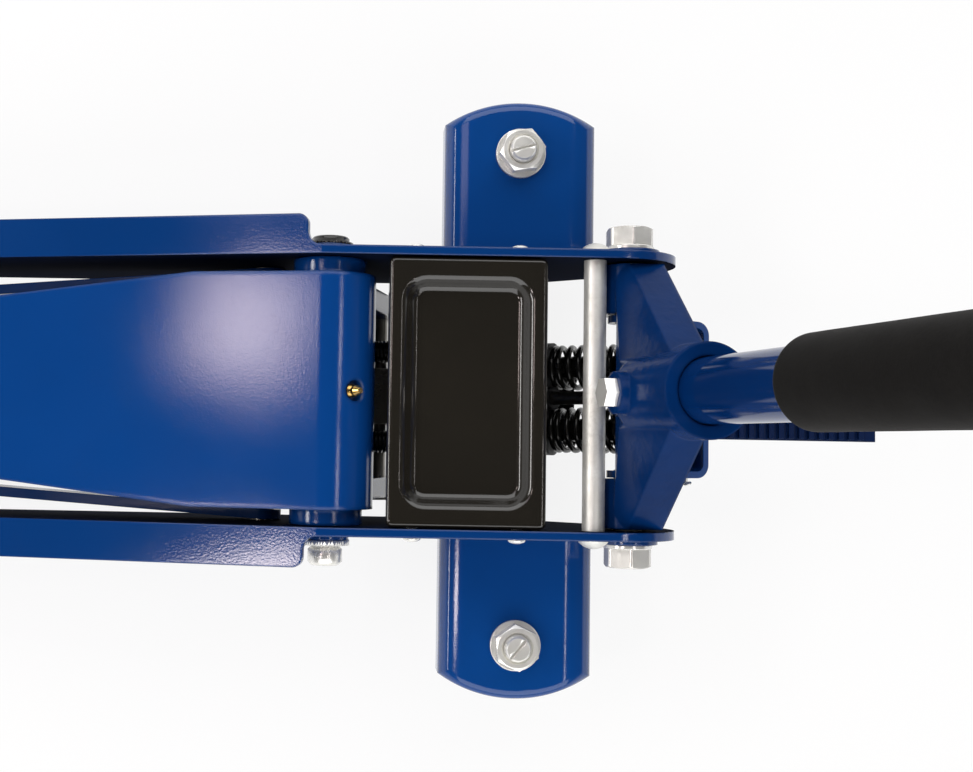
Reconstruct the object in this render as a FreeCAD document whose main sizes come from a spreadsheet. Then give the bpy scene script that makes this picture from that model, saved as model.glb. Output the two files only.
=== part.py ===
import FreeCAD
import Part
import Sketcher
import math
import os

# Floor jack, standing on its wheels. Millimetres and degrees.
# The saddle end is toward -X, the handle toward +X, and the floor is z = 0.
# The lift arm turns about the Y axis at x = 0.

os.makedirs("parts", exist_ok=True)
document = FreeCAD.newDocument("FloorJack")

sizes = {
    # Frame
    "PlateInner": 76.5,
    "PlateThickness": 5.0,
    "PlateTop": 150.0,
    "PlateBelly": 26.0,
    "BellyRear": 115.0,
    "RearEndX": 164.0,
    "RearEndRadius": 38.0,
    "NoseRadius": 24.0,
    "FrontSlope": 11.75,
    "FlangeWidth": 17.5,
    "FlangeThickness": 5.0,
    "FlangeFront": 355.0,
    "FlangeCorner": 5.5,
    "FlangeRoot": 8.0,
    "AxleAhead": 60.0,
    "AxleRadius": 10.0,
    "PivotHeight": 120.0,
    "PivotShaftRadius": 12.0,
    "PivotBossRadius": 13.5,
    "PivotBossLength": 3.5,
    "PivotNutRadius": 11.0,
    "PivotNutLength": 5.0,
    "PivotWasherRadius": 14.0,
    "PivotWasherThickness": 3.0,
    "PivotCapRadius": 10.0,
    "PivotCapLength": 11.5,
    "TieRodX": 151.0,
    "TieRodHeight": 138.0,
    "TieRodRadius": 6.35,
    "TieShoulderRadius": 5.0,
    "RivetHeadRadius": 9.0,
    "RivetHeadHeight": 5.0,
    "FrontTieForward": 232.0,
    "FrontTieHeight": 32.0,
    # Clearances
    "RunningFit": 0.05,
    "SideGap": 0.4,
    # Front wheels
    "FrontWheelRadius": 38.0,
    "FrontWheelWidth": 36.0,
    "FrontWheelGap": 5.0,
    "WheelCapRadius": 14.0,
    "WheelCapLength": 6.0,
    # Casters
    "WingX": 113.5,
    "WingWidth": 91.0,
    "WingReach": 98.5,
    "WingEndRadius": 79.0,
    "WingTop": 94.0,
    "WingDepth": 22.0,
    "WingThickness": 4.5,
    "WingEdgeRadius": 6.0,
    "StudOut": 66.0,
    "StudRadius": 8.0,
    "StudTop": 13.0,
    "NutFlats": 24.0,
    "NutHeight": 10.0,
    "WasherRadius": 15.0,
    "WasherThickness": 2.5,
    "RaceRadius": 26.0,
    "RaceHeight": 9.0,
    "CasterWheelRadius": 30.0,
    "CasterWheelWidth": 25.0,
    "CasterTrail": 22.0,
    "CasterCheek": 4.0,
    "CasterAxleRadius": 6.0,
    "CasterEyeRadius": 11.0,
    "CasterCheekHalf": 20.0,
    # Lift arm
    "ArmLength": 365.0,
    "ArmDrop": 9.0,
    "HubRadius": 27.0,
    "HubHalfLength": 67.0,
    "CollarRadius": 21.0,
    "CollarLength": 9.0,
    "ArmWall": 7.0,
    "ArmTopThickness": 6.0,
    "ArmTaperStart": 75.0,
    "ArmTaperBehind": 47.0,
    "ArmTipHalfWidth": 40.0,
    "ArmTipRadius": 18.0,
    "LeverRadius": 80.0,
    "LeverAngle": 78.5,
    "LeverInner": 50.0,
    "LeverThickness": 12.0,
    "LeverRootWidth": 24.0,
    "LeverEyeRadius": 15.0,
    "LeverPinRadius": 8.0,
    "LeverPinHead": 10.5,
    "PinHeadThickness": 2.5,
    "SpringBarRadius": 55.0,
    "SpringBarAngle": 84.0,
    "SpringBarSize": 4.0,
    "NippleAngle": 45.0,
    "NippleHoleRadius": 6.0,
    # Radius rods
    "AnchorForward": 39.0,
    "AnchorDrop": 38.0,
    "AnchorPinRadius": 7.0,
    "RodInner": 69.5,
    "RodThickness": 6.0,
    "RodHalfDepth": 11.0,
    "RodSkew": 3.3,
    # Saddle
    "BracketHalfWidth": 32.4,
    "BracketSlot": 19.0,
    "BracketEyeRadius": 16.0,
    "BracketLowEye": 13.0,
    "TipPinRadius": 9.0,
    "TipPinHead": 12.0,
    "RodPinHead": 10.0,
    "SaddleAxisForward": 10.0,
    "BracketTop": 116.0,
    "BracketBossWidth": 23.0,
    "SaddleStemRadius": 12.0,
    "SaddleStemLength": 18.0,
    "SaddleRadius": 50.0,
    "SaddleHeight": 17.0,
    "SaddlePadRadius": 42.0,
    "SaddlePadHeight": 12.0,
    # Ram and power unit
    "RamHeight": 45.0,
    "RamRadius": 11.0,
    "RamRear": 145.0,
    "CrossheadHalfWidth": 17.0,
    "CrossheadHalfLength": 16.0,
    "SlotHalfLength": 10.0,
    "SlotBottom": 31.0,
    "SlotTop": 71.0,
    "CrossheadWall": 5.0,
    "GlandFront": 47.0,
    "GlandRadius": 25.0,
    "GlandLength": 9.0,
    "CylinderRadius": 23.0,
    "CylinderEnd": 152.0,
    "BlockFront": 90.0,
    "BlockLength": 40.0,
    "BlockHalfWidth": 38.0,
    "BlockBottom": 24.0,
    "BlockTop": 82.0,
    "EarHalfHeight": 12.0,
    "EarLength": 26.0,
    "UnitBoltRadius": 6.0,
    "ReturnSpringY": 28.0,
    "ReturnSpringHeight": 66.0,
    "ReturnSpringRadius": 7.5,
    "SpringWire": 2.8,
    # Tray
    "TrayFront": 34.0,
    "TrayLength": 89.0,
    "TrayHalfWidth": 75.8,
    "TrayTop": 148.0,
    "TrayDepth": 20.0,
    "TraySheet": 2.5,
    "TrayCorner": 4.0,
    "RecessMarginX": 9.0,
    "RecessMarginY": 12.0,
    "RecessSlope": 6.0,
    "RecessDepth": 7.0,
    "RecessCorner": 12.0,
    "TrayScrewRadius": 3.0,
    "TrayScrewHead": 5.0,
    "TrayScrewInset": 15.0,
    "TrayScrewHeight": 138.0,
    # Handle yoke
    "YokeX": 173.0,
    "YokeHeight": 125.0,
    "YokeEnd": 75.0,
    "YokeBossInner": 47.0,
    "YokeBossRadius": 16.5,
    "YokeFront": 10.5,
    "YokeCentreHalf": 19.0,
    "YokeArch": 16.0,
    "HandleLean": 13.5,
    "SocketLength": 92.6,
    "SocketRadius": 25.0,
    "HandleRadius": 17.2,
    "SocketFit": 0.6,
    "YokeBoltRadius": 8.0,
    "YokeBoltEnd": 42.0,
    "YokeBoltHead": 11.0,
    "YokeDiscRadius": 17.0,
    "YokeDiscThickness": 2.5,
    "ClampBoltRadius": 6.0,
    "ClampBoltHeight": 44.0,
    "ClampBoltFlats": 15.0,
    "ClampBoltTurn": 80.0,
    "ClampPadReach": 29.0,
    "ClampHeadHeight": 7.0,
    "CrankRadius": 24.7,
    "PumpTilt": 60.0,
    "YokeStrokeMiddle": 18.25,
    "PedalStrokeMiddle": 12.5,
    "RollerRadius": 7.0,
    "RollerHalfWidth": 8.0,
    "RollerPinRadius": 3.5,
    "LugInner": 36.3,
    "LugThickness": 5.4,
    "LugHalfWidth": 6.5,
    # Handle
    "HandleLength": 1163.0,
    "HandleJoint": 640.0,
    "HandleWall": 2.5,
    "CupRadius": 14.0,
    "CupLength": 22.0,
    "BallRadius": 9.0,
    "BallFit": 0.1,
    "ValveStemRadius": 4.0,
    "ValveStemLength": 52.0,
    "ValveTilt": 225.0,
    "FoamStart": 182.0,
    "FoamLength": 360.0,
    "FoamRadius": 22.0,
    "GripLength": 130.0,
    "GripRadius": 19.0,
    # Pumps
    "PumpY": 19.0,
    "PumpSocketRadius": 15.5,
    "PumpSocketFace": 55.0,
    "PlungerRadius": 7.0,
    "PlungerCapRadius": 16.4,
    "PlungerCapThickness": 5.0,
    "PlungerReach": 76.0,
    "RollerGap": 0.6,
    "PumpSpringRadius": 14.0,
    # Pedal
    "PedalOuter": 46.4,
    "PedalCheek": 4.0,
    "PedalRearX": 227.0,
    "PedalCorner": 8.0,
    "PedalWebHeight": 28.0,
    "PedalWebTop": 98.0,
    "PedalEyeRadius": 12.0,
    "PedalPadFront": 236.0,
    "PedalPadLength": 94.0,
    "PedalPadHalfWidth": 23.0,
    "PedalPadTop": 92.0,
    "PedalPadThickness": 9.0,
    "PedalRibPitch": 6.0,
    "PedalPinRadius": 4.0,
}

sheet = document.addObject("Spreadsheet::Sheet", "Sizes")
for row, (name, value) in enumerate(sizes.items(), start=1):
    sheet.set(f"A{row}", name)
    sheet.set(f"B{row}", str(value))
    sheet.setAlias(f"B{row}", name)
document.recompute()


class Size:
    # A length or an angle: the formula that gives it, and its present number.
    def __init__(self, text, number):
        self.text = text
        self.number = float(number)

    def __add__(self, other):
        other = as_size(other)
        return Size(f"({self.text} + {other.text})", self.number + other.number)

    def __sub__(self, other):
        other = as_size(other)
        return Size(f"({self.text} - {other.text})", self.number - other.number)

    def __mul__(self, other):
        other = as_size(other)
        return Size(f"({self.text} * {other.text})", self.number * other.number)

    def __truediv__(self, other):
        other = as_size(other)
        return Size(f"({self.text} / {other.text})", self.number / other.number)

    def __radd__(self, other):
        return as_size(other) + self

    def __rsub__(self, other):
        return as_size(other) - self

    def __rmul__(self, other):
        return as_size(other) * self

    def __neg__(self):
        return as_size(0) - self


def as_size(value):
    if isinstance(value, Size):
        return value
    return Size(f"({value})" if value < 0 else str(value), value)


def size(name):
    return Size(f"Sizes.{name}", sizes[name])


def cosine(angle):
    angle = as_size(angle)
    return Size(f"cos({angle.text})", math.cos(math.radians(angle.number)))


def sine(angle):
    angle = as_size(angle)
    return Size(f"sin({angle.text})", math.sin(math.radians(angle.number)))


def root(value):
    return Size(f"sqrt({value.text})", math.sqrt(value.number))


def bind(item, name, value):
    value = as_size(value)
    setattr(item, name, value.number)
    item.setExpression(name, value.text)


X_AXIS = FreeCAD.Vector(1, 0, 0)
Y_AXIS = FreeCAD.Vector(0, 1, 0)
Z_AXIS = FreeCAD.Vector(0, 0, 1)
ALONG_Y = (X_AXIS, -90)
ALONG_MINUS_Y = (X_AXIS, 90)
ALONG_X = (Y_AXIS, 90)


def place(item, x=0, y=0, z=0, turn=None):
    # Set an item's place, and turn it by an angle about an axis through that place.
    spot = [as_size(x), as_size(y), as_size(z)]
    rotation = FreeCAD.Rotation()
    if turn:
        axis, angle = turn
        rotation = FreeCAD.Rotation(axis, as_size(angle).number)
    item.Placement = FreeCAD.Placement(FreeCAD.Vector(*[s.number for s in spot]), rotation)
    for letter, value in zip("xyz", spot):
        item.setExpression(f"Placement.Base.{letter}", value.text)
    if turn and isinstance(angle, Size):
        item.setExpression("Placement.Rotation.Angle", f"({angle.text}) * 1deg")
    return item


def named(kind, label):
    item = document.addObject(kind, label)
    item.Label = label
    return item


def cylinder(label, radius, height):
    item = named("Part::Cylinder", label)
    bind(item, "Radius", radius)
    bind(item, "Height", height)
    return item


def sphere(label, radius):
    item = named("Part::Sphere", label)
    bind(item, "Radius", radius)
    return item


def box(label, length, width, height):
    item = named("Part::Box", label)
    bind(item, "Length", length)
    bind(item, "Width", width)
    bind(item, "Height", height)
    return item


def hexagon(label, flats, height):
    item = named("Part::Prism", label)
    item.Polygon = 6
    bind(item, "Circumradius", flats / root(as_size(3)))
    bind(item, "Height", height)
    return item


def fuse(label, *items):
    item = named("Part::MultiFuse", label)
    item.Shapes = list(items)
    item.Refine = True
    return item


def cut(label, base, *tools):
    item = named("Part::Cut", label)
    item.Base = base
    item.Tool = tools[0] if len(tools) == 1 else fuse(label + "Tools", *tools)
    item.Refine = True
    return item


def common(label, first, second):
    item = named("Part::Common", label)
    item.Base = first
    item.Tool = second
    return item


def mirrored(label, source):
    # The other-handed copy of a piece, across the jack's middle plane.
    item = named("Part::Mirroring", label)
    item.Source = source
    item.Normal = Y_AXIS
    return item


def origin_plane(body, role):
    return [item for item in body.Origin.OriginFeatures if item.Role == role][0]


def outline(body, label, plane, points, offset=None):
    # Draw a closed outline. Each point is (x, y), reached by a straight line, or
    # (x, y, centre x, centre y, turn), reached by an arc: turn 1 is anticlockwise.
    sketch = body.newObject("Sketcher::SketchObject", label)
    sketch.AttachmentSupport = [(origin_plane(body, plane), "")]
    sketch.MapMode = "FlatFace"
    if offset:
        shift, turn = offset
        spot = [as_size(value) for value in shift]
        rotation = FreeCAD.Rotation(turn[0], as_size(turn[1]).number) if turn else FreeCAD.Rotation()
        base = FreeCAD.Vector(*[s.number for s in spot])
        sketch.AttachmentOffset = FreeCAD.Placement(base, rotation)
        for letter, value in zip("xyz", spot):
            sketch.setExpression(f"AttachmentOffset.Base.{letter}", value.text)
    places = [[as_size(value) for value in point] for point in points]
    count = len(places)
    ends = []
    for number in range(count):
        start = places[number - 1]
        end = places[number]
        first = FreeCAD.Vector(start[0].number, start[1].number, 0)
        last = FreeCAD.Vector(end[0].number, end[1].number, 0)
        if len(end) == 2:
            sketch.addGeometry(Part.LineSegment(first, last), False)
            ends.append((1, 2))
            continue
        centre = FreeCAD.Vector(end[2].number, end[3].number, 0)
        forward = end[4].number > 0
        one, two = (first, last) if forward else (last, first)
        angles = [math.atan2(p.y - centre.y, p.x - centre.x) for p in (one, two)]
        circle = Part.Circle(centre, Z_AXIS, (first - centre).Length)
        sketch.addGeometry(Part.ArcOfCircle(circle, angles[0], angles[1]), False)
        ends.append((1, 2) if forward else (2, 1))
    for number in range(count):
        following = (number + 1) % count
        joint = Sketcher.Constraint("Coincident", number, ends[number][1], following, ends[following][0])
        sketch.addConstraint(joint)
    for number, point in enumerate(places):
        pin(sketch, "DistanceX", number, ends[number][1], point[0])
        pin(sketch, "DistanceY", number, ends[number][1], point[1])
        if len(point) > 2:
            start = places[number - 1]
            across = abs(point[0].number - start[0].number)
            up = abs(point[1].number - start[1].number)
            if up > across:
                pin(sketch, "DistanceX", number, 3, point[2])
            else:
                pin(sketch, "DistanceY", number, 3, point[3])
    return sketch


def pin(sketch, kind, number, end, value):
    index = sketch.addConstraint(Sketcher.Constraint(kind, -1, 1, number, end, value.number))
    sketch.setExpression(f"Constraints[{index}]", value.text)


def hole(sketch, x, y, radius):
    # Add a round hole to a sketch.
    x = as_size(x)
    y = as_size(y)
    centre = FreeCAD.Vector(x.number, y.number, 0)
    number = sketch.addGeometry(Part.Circle(centre, Z_AXIS, radius.number), False)
    pin(sketch, "DistanceX", number, 3, x)
    pin(sketch, "DistanceY", number, 3, y)
    index = sketch.addConstraint(Sketcher.Constraint("Radius", number, radius.number))
    sketch.setExpression(f"Constraints[{index}]", radius.text)


def pad(body, sketch, length, both=False, reverse=False):
    item = body.newObject("PartDesign::Pad", sketch.Label + "Pad")
    item.Profile = sketch
    item.SideType = "Symmetric" if both else "One side"
    item.Reversed = reverse
    bind(item, "Length", length)
    return item


def pocket(body, sketch, length, both=False, reverse=False):
    item = body.newObject("PartDesign::Pocket", sketch.Label + "Pocket")
    item.Profile = sketch
    item.SideType = "Symmetric" if both else "One side"
    item.Reversed = reverse
    bind(item, "Length", length)
    return item


def loft(body, kind, sketches):
    item = body.newObject(f"PartDesign::{kind}Loft", sketches[0].Label + "Loft")
    item.Profile = sketches[0]
    item.Sections = list(sketches[1:])
    item.Ruled = True
    return item


def fillet(body, base, radius, wanted):
    # Round the edges of a feature that a test on their two ends picks out.
    document.recompute()
    names = []
    for number, edge in enumerate(base.Shape.Edges, start=1):
        if len(edge.Vertexes) == 2 and wanted(edge):
            names.append(f"Edge{number}")
    item = body.newObject("PartDesign::Fillet", base.Label + "Fillet")
    item.Base = (base, names)
    bind(item, "Radius", radius)
    return item


def profile(label, points, half_length):
    # An outline in the XZ plane, as thick as twice the half length across Y.
    body = named("PartDesign::Body", label)
    sketch = outline(body, label + "Outline", "XZ_Plane", points)
    pad(body, sketch, 2 * half_length, both=True)
    return body


def plan(label, points, half_height):
    # An outline in the XY plane, as thick as twice the half height.
    body = named("PartDesign::Body", label)
    sketch = outline(body, label + "Outline", "XY_Plane", points)
    pad(body, sketch, 2 * half_height, both=True)
    return body


def turned(label, points):
    # A solid turned about Z from points given as radius and height.
    body = named("PartDesign::Body", label)
    sketch = outline(body, label + "Outline", "XZ_Plane", points)
    item = body.newObject("PartDesign::Revolution", label + "Turned")
    item.Profile = sketch
    item.ReferenceAxis = (sketch, ["V_Axis"])
    item.Angle = 360
    return body


def rounded(left, right, low, high, radius):
    # The outline of a rectangle with round corners, anticlockwise.
    return [
        (left + radius, low),
        (right - radius, low),
        (right, low + radius, right - radius, low + radius, 1),
        (right, high - radius),
        (right - radius, high, right - radius, high - radius, 1),
        (left + radius, high),
        (left, high - radius, left + radius, high - radius, 1),
        (left, low + radius),
        (left + radius, low, left + radius, low + radius, 1),
    ][1:]


pieces = []


def keep(item):
    pieces.append(item)
    return item


# Places that several pieces share
fit = size("RunningFit")
inner = size("PlateInner")
outer = inner + size("PlateThickness")
pivot_z = size("PivotHeight")
axle_x = -size("ArmLength") - size("AxleAhead")
front_tie_x = -size("FrontTieForward")
axle_z = size("FrontWheelRadius")
yoke_x = size("YokeX")
yoke_z = size("YokeHeight")
anchor_x = -size("AnchorForward")
anchor_z = pivot_z - size("AnchorDrop")
tip_x = -size("ArmLength") * cosine(size("ArmDrop"))
tip_z = pivot_z - size("ArmLength") * sine(size("ArmDrop"))
low_eye_x = tip_x + anchor_x
low_eye_z = tip_z - size("AnchorDrop")
unit_bolt_x = size("BlockFront") + size("EarLength") / 2
screw_places = [
    size("TrayFront") + size("TrayScrewInset"),
    size("TrayFront") + size("TrayLength") - size("TrayScrewInset"),
]


# Side plates
def side_plate():
    slope = size("FrontSlope")
    nose = size("NoseRadius")
    top = size("PlateTop")
    end = size("RearEndRadius")
    end_x = size("RearEndX")
    end_z = top - end
    nose_top_x = axle_x - nose * sine(slope)
    nose_top_z = axle_z + nose * cosine(slope)
    break_x = nose_top_x + (top - nose_top_z) * cosine(slope) / sine(slope)
    body = named("PartDesign::Body", "side_plate_left")
    points = [
        (axle_x, axle_z - nose, axle_x, axle_z, 1),
        (size("BellyRear"), size("PlateBelly")),
        (end_x + end / 2, end_z - end * root(as_size(3)) / 2),
        (end_x, top, end_x, end_z, 1),
        (break_x, top),
        (nose_top_x, nose_top_z),
    ]
    web = outline(body, "Web", "XZ_Plane", points, ((0, 0, -outer), None))
    hole(web, 0, pivot_z, size("PivotShaftRadius") + fit)
    hole(web, axle_x, axle_z, size("AxleRadius") + fit)
    hole(web, size("TieRodX"), size("TieRodHeight"), size("TieShoulderRadius") + fit)
    hole(web, front_tie_x, size("FrontTieHeight"), size("TieShoulderRadius") + fit)
    hole(web, anchor_x, anchor_z, size("AnchorPinRadius") + fit)
    hole(web, yoke_x, yoke_z, size("YokeBoltRadius") + fit)
    hole(web, unit_bolt_x, size("RamHeight"), size("UnitBoltRadius") + fit)
    for screw_x in screw_places:
        hole(web, screw_x, size("TrayScrewHeight"), size("TrayScrewRadius") + fit)
    pad(body, web, size("PlateThickness"))
    boss = outline(body, "PivotBoss", "XZ_Plane", [], ((0, 0, -outer), None))
    hole(boss, 0, pivot_z, size("PivotBossRadius"))
    hole(boss, 0, pivot_z, size("PivotShaftRadius") + fit)
    pad(body, boss, size("PivotBossLength"), reverse=True)
    disc = outline(body, "YokeDisc", "XZ_Plane", [], ((0, 0, -outer), None))
    hole(disc, yoke_x, yoke_z, size("YokeDiscRadius"))
    hole(disc, yoke_x, yoke_z, size("YokeBoltRadius") + fit)
    pad(body, disc, size("YokeDiscThickness"), reverse=True)
    corner = size("FlangeCorner")
    curve = size("FlangeRoot")
    thick = size("PlateThickness")
    wide = thick + size("FlangeWidth")
    front = -size("FlangeFront")
    edge = [
        (front, 0),
        (0, 0),
        (0, thick),
        (-curve, thick + curve, 0, thick + curve, -1),
        (-curve, wide - corner),
        (-curve - corner, wide, -curve - corner, wide - corner, 1),
        (front + corner, wide),
        (front, wide - corner, front + corner, wide - corner, 1),
    ]
    tilt = (Y_AXIS, -slope)
    flange = outline(body, "Flange", "XY_Plane", edge, ((break_x, inner, top), tilt))
    pad(body, flange, size("FlangeThickness"), reverse=True)
    return body


left_plate = keep(side_plate())
keep(mirrored("side_plate_right", left_plate))


# Tie rods, riveted over outside the plates
def tie_rod(label, x, z):
    shoulder = size("TieShoulderRadius")
    head = size("RivetHeadRadius")
    dome = size("RivetHeadHeight")
    ball = (head * head + dome * dome) / (2 * dome)
    reach = outer + fit
    rim = inner - fit
    points = [
        (0, -reach - dome),
        (head, -reach, 0, -reach - dome + ball, 1),
        (shoulder, -reach),
        (shoulder, -rim),
        (size("TieRodRadius"), -rim),
        (size("TieRodRadius"), rim),
        (shoulder, rim),
        (shoulder, reach),
        (head, reach),
        (0, reach + dome, 0, reach + dome - ball, 1),
    ]
    return keep(place(turned(label, points), x, 0, z, ALONG_Y))


tie_rod("tie_rod", size("TieRodX"), size("TieRodHeight"))
tie_rod("front_tie_rod", front_tie_x, size("FrontTieHeight"))


# Front axle with its end caps, and the two steel wheels
def front_axle():
    hub_end = outer + size("FrontWheelGap") + size("FrontWheelWidth") + size("SideGap")
    end = hub_end + size("WheelCapLength")
    radius = size("AxleRadius")
    cap = size("WheelCapRadius")
    stop = outer + size("FrontWheelGap") - size("SideGap")
    points = [
        (0, -end),
        (cap, -end),
        (cap, -hub_end),
        (radius, -hub_end),
        (radius, -stop),
        (cap, -stop),
        (cap, -outer - fit),
        (radius, -outer - fit),
        (radius, outer + fit),
        (cap, outer + fit),
        (cap, stop),
        (radius, stop),
        (radius, hub_end),
        (cap, hub_end),
        (cap, end),
        (0, end),
    ]
    return keep(place(turned("front_axle", points), axle_x, 0, axle_z, ALONG_Y))


front_axle()


def front_wheel():
    radius = size("FrontWheelRadius")
    wide = size("FrontWheelWidth")
    bore = size("AxleRadius") + fit
    dish = wide / 6
    rim = radius * 0.8
    hub = size("WheelCapRadius") + 3
    points = [
        (bore, 0),
        (hub, 0),
        (hub + dish / 2, dish),
        (rim - dish / 2, dish),
        (rim, 0),
        (radius - 3, 0),
        (radius, 3, radius - 3, 3, 1),
        (radius, wide - 3),
        (radius - 3, wide, radius - 3, wide - 3, 1),
        (rim, wide),
        (rim - dish / 2, wide - dish),
        (hub + dish / 2, wide - dish),
        (hub, wide),
        (bore, wide),
    ]
    body = turned("front_wheel_left", points)
    return place(body, axle_x, outer + size("FrontWheelGap"), axle_z, ALONG_Y)


left_wheel = keep(front_wheel())
keep(mirrored("front_wheel_right", left_wheel))


# Caster wings: pressed pans that stand out from the side plates
def caster_wing():
    half = size("WingWidth") / 2
    reach = size("WingReach")
    ball = size("WingEndRadius")
    wall = size("WingThickness")
    corner = size("WingEdgeRadius")
    top = size("WingTop")
    side = reach - ball + root(ball * ball - half * half)
    inner_ball = ball - wall
    inner_half = half - wall
    inner_side = reach - ball + root(inner_ball * inner_ball - inner_half * inner_half)
    centre = reach - ball
    body = named("PartDesign::Body", "caster_wing_left")
    shell = [
        (-half, 0),
        (half, 0),
        (half, side),
        (-half, side, 0, centre, 1),
    ]
    skin = outline(body, "WingOutline", "XY_Plane", shell)
    solid = pad(body, skin, size("WingDepth"))
    high = size("WingDepth").number

    def top_edge(edge):
        level = all(abs(v.Z - high) < 0.01 for v in edge.Vertexes)
        return level and any(v.Y > 1 for v in edge.Vertexes)

    fillet(body, solid, corner, top_edge)
    hollow = [
        (-inner_half, -1),
        (inner_half, -1),
        (inner_half, inner_side),
        (-inner_half, inner_side, 0, centre, 1),
    ]
    under = outline(body, "WingHollow", "XY_Plane", hollow)
    pocket(body, under, size("WingDepth") - wall, reverse=True)
    opening = outline(body, "WingStud", "XY_Plane", [])
    hole(opening, 0, size("StudOut"), size("StudRadius") + fit)
    pocket(body, opening, size("WingDepth") + 1, reverse=True)
    return place(body, size("WingX"), outer + fit, top - size("WingDepth"))


left_wing = keep(caster_wing())
keep(mirrored("caster_wing_right", left_wing))


# Swivel stud of a caster, with its washer and nut on top of the wing
def caster_stud():
    stud = size("StudRadius")
    top = size("WingTop")
    under = size("WingThickness") + size("RaceHeight") + 3
    washer = cylinder("StudWasher", size("WasherRadius"), size("WasherThickness"))
    nut = place(hexagon("StudNut", size("NutFlats"), size("NutHeight")), z=size("WasherThickness"))
    length = under + size("StudTop") + 4
    shank = place(cylinder("StudShank", stud, length), z=-under)
    foot = place(cylinder("StudFoot", stud + 5, 3), z=-under - 3)
    stud_y = outer + fit + size("StudOut")
    whole = fuse("caster_stud_left", washer, nut, shank, foot)
    return place(whole, size("WingX"), stud_y, top + 0.02)


left_stud = keep(caster_stud())
keep(mirrored("caster_stud_right", left_stud))


# Caster fork: race plate on top and two cheeks that trail back to the axle
def caster_fork():
    race = size("RaceRadius")
    trail = size("CasterTrail")
    cheek = size("CasterCheek")
    gap = size("CasterWheelWidth") / 2 + 1.5
    radius = size("CasterWheelRadius")
    race_top = size("WingTop") - size("WingThickness") - size("SideGap")
    race_low = race_top - size("RaceHeight")
    disc = place(cylinder("ForkRace", race, size("RaceHeight")), z=race_low)
    plate = place(cylinder("ForkPlate", gap + cheek + 6, 5), z=race_low - 5)
    eye = size("CasterEyeRadius")
    back = size("CasterCheekHalf")
    low = radius - eye
    outline_points = [
        (trail, low),
        (trail, radius + eye, trail, radius, 1),
        (back, race_low),
        (-back, race_low),
        (-back, race_low - 5),
        (trail - eye, radius),
        (trail, low, trail, radius, 1),
    ][1:]
    cheeks = []
    for number, side in enumerate((1, -1)):
        body = named("PartDesign::Body", f"ForkCheek{number}")
        sketch = outline(body, f"ForkCheekOutline{number}", "XZ_Plane", outline_points)
        pad(body, sketch, cheek, both=True)
        cheeks.append(place(body, y=side * (gap + cheek / 2)))
    whole = fuse("ForkWhole", disc, plate, *cheeks)
    bore = cylinder("ForkBore", size("StudRadius") + fit, size("WingTop"))
    foot = place(cylinder("ForkFootRoom", size("StudRadius") + 6, race_low - radius), z=radius + 1)
    pin_hole = place(
        cylinder("ForkAxleHole", size("CasterAxleRadius") + fit, 4 * gap), trail, -2 * gap, radius, ALONG_Y
    )
    fork = cut("caster_fork_left", whole, bore, foot, pin_hole)
    stud_y = outer + fit + size("StudOut")
    return place(fork, size("WingX"), stud_y, 0)


left_fork = keep(caster_fork())
keep(mirrored("caster_fork_right", left_fork))


# Caster wheel with its axle
def caster_wheel():
    radius = size("CasterWheelRadius")
    half = size("CasterWheelWidth") / 2
    bore = size("CasterAxleRadius") + fit
    points = [
        (bore, -half - 1),
        (bore + 5, -half - 1),
        (bore + 5, -half + 4),
        (radius - 7, -half + 4),
        (radius - 5, -half),
        (radius - 4, -half),
        (radius, -half + 4, radius - 4, -half + 4, 1),
        (radius, half - 4),
        (radius - 4, half, radius - 4, half - 4, 1),
        (radius - 5, half),
        (radius - 7, half - 4),
        (bore + 5, half - 4),
        (bore + 5, half + 1),
        (bore, half + 1),
    ]
    wheel = turned("caster_wheel_left", points)
    stud_y = outer + fit + size("StudOut")
    wheel_x = size("WingX") + size("CasterTrail")
    place(wheel, wheel_x, stud_y, radius, ALONG_Y)
    end = half + 1.5 + size("CasterCheek") + fit
    axle = size("CasterAxleRadius")
    ends = [
        (0, -end - 3),
        (axle + 3, -end - 3),
        (axle + 3, -end),
        (axle, -end),
        (axle, end),
        (axle + 3, end),
        (axle + 3, end + 3),
        (0, end + 3),
    ]
    shaft = place(turned("caster_axle_left", ends), wheel_x, stud_y, radius, ALONG_Y)
    return keep(wheel), keep(shaft)


left_caster_wheel, left_caster_axle = caster_wheel()
keep(mirrored("caster_wheel_right", left_caster_wheel))
keep(mirrored("caster_axle_right", left_caster_axle))


# Pivot shaft of the lift arm: a low nut at the left end, a washer and a cap nut at the right
def pivot_shaft():
    radius = size("PivotShaftRadius")
    seat = outer + fit + size("PivotBossLength")
    nut = size("PivotNutRadius")
    left_end = seat + size("PivotNutLength")
    washer = size("PivotWasherRadius")
    washer_end = seat + size("PivotWasherThickness")
    cap = size("PivotCapRadius")
    cap_end = washer_end + size("PivotCapLength")
    points = [
        (0, -cap_end),
        (cap - 2, -cap_end),
        (cap, -cap_end + 2),
        (cap, -washer_end - 2.5),
        (cap - 2.5, -washer_end),
        (washer, -washer_end),
        (washer, -seat),
        (radius, -seat),
        (radius, seat),
        (radius + 1.2, seat),
        (radius + 1.2, seat + 1.5),
        (nut, seat + 1.5),
        (nut, left_end - 1),
        (nut - 1, left_end),
        (0, left_end),
    ]
    return keep(place(turned("pivot_shaft", points), 0, 0, pivot_z, ALONG_Y))


pivot_shaft()


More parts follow.
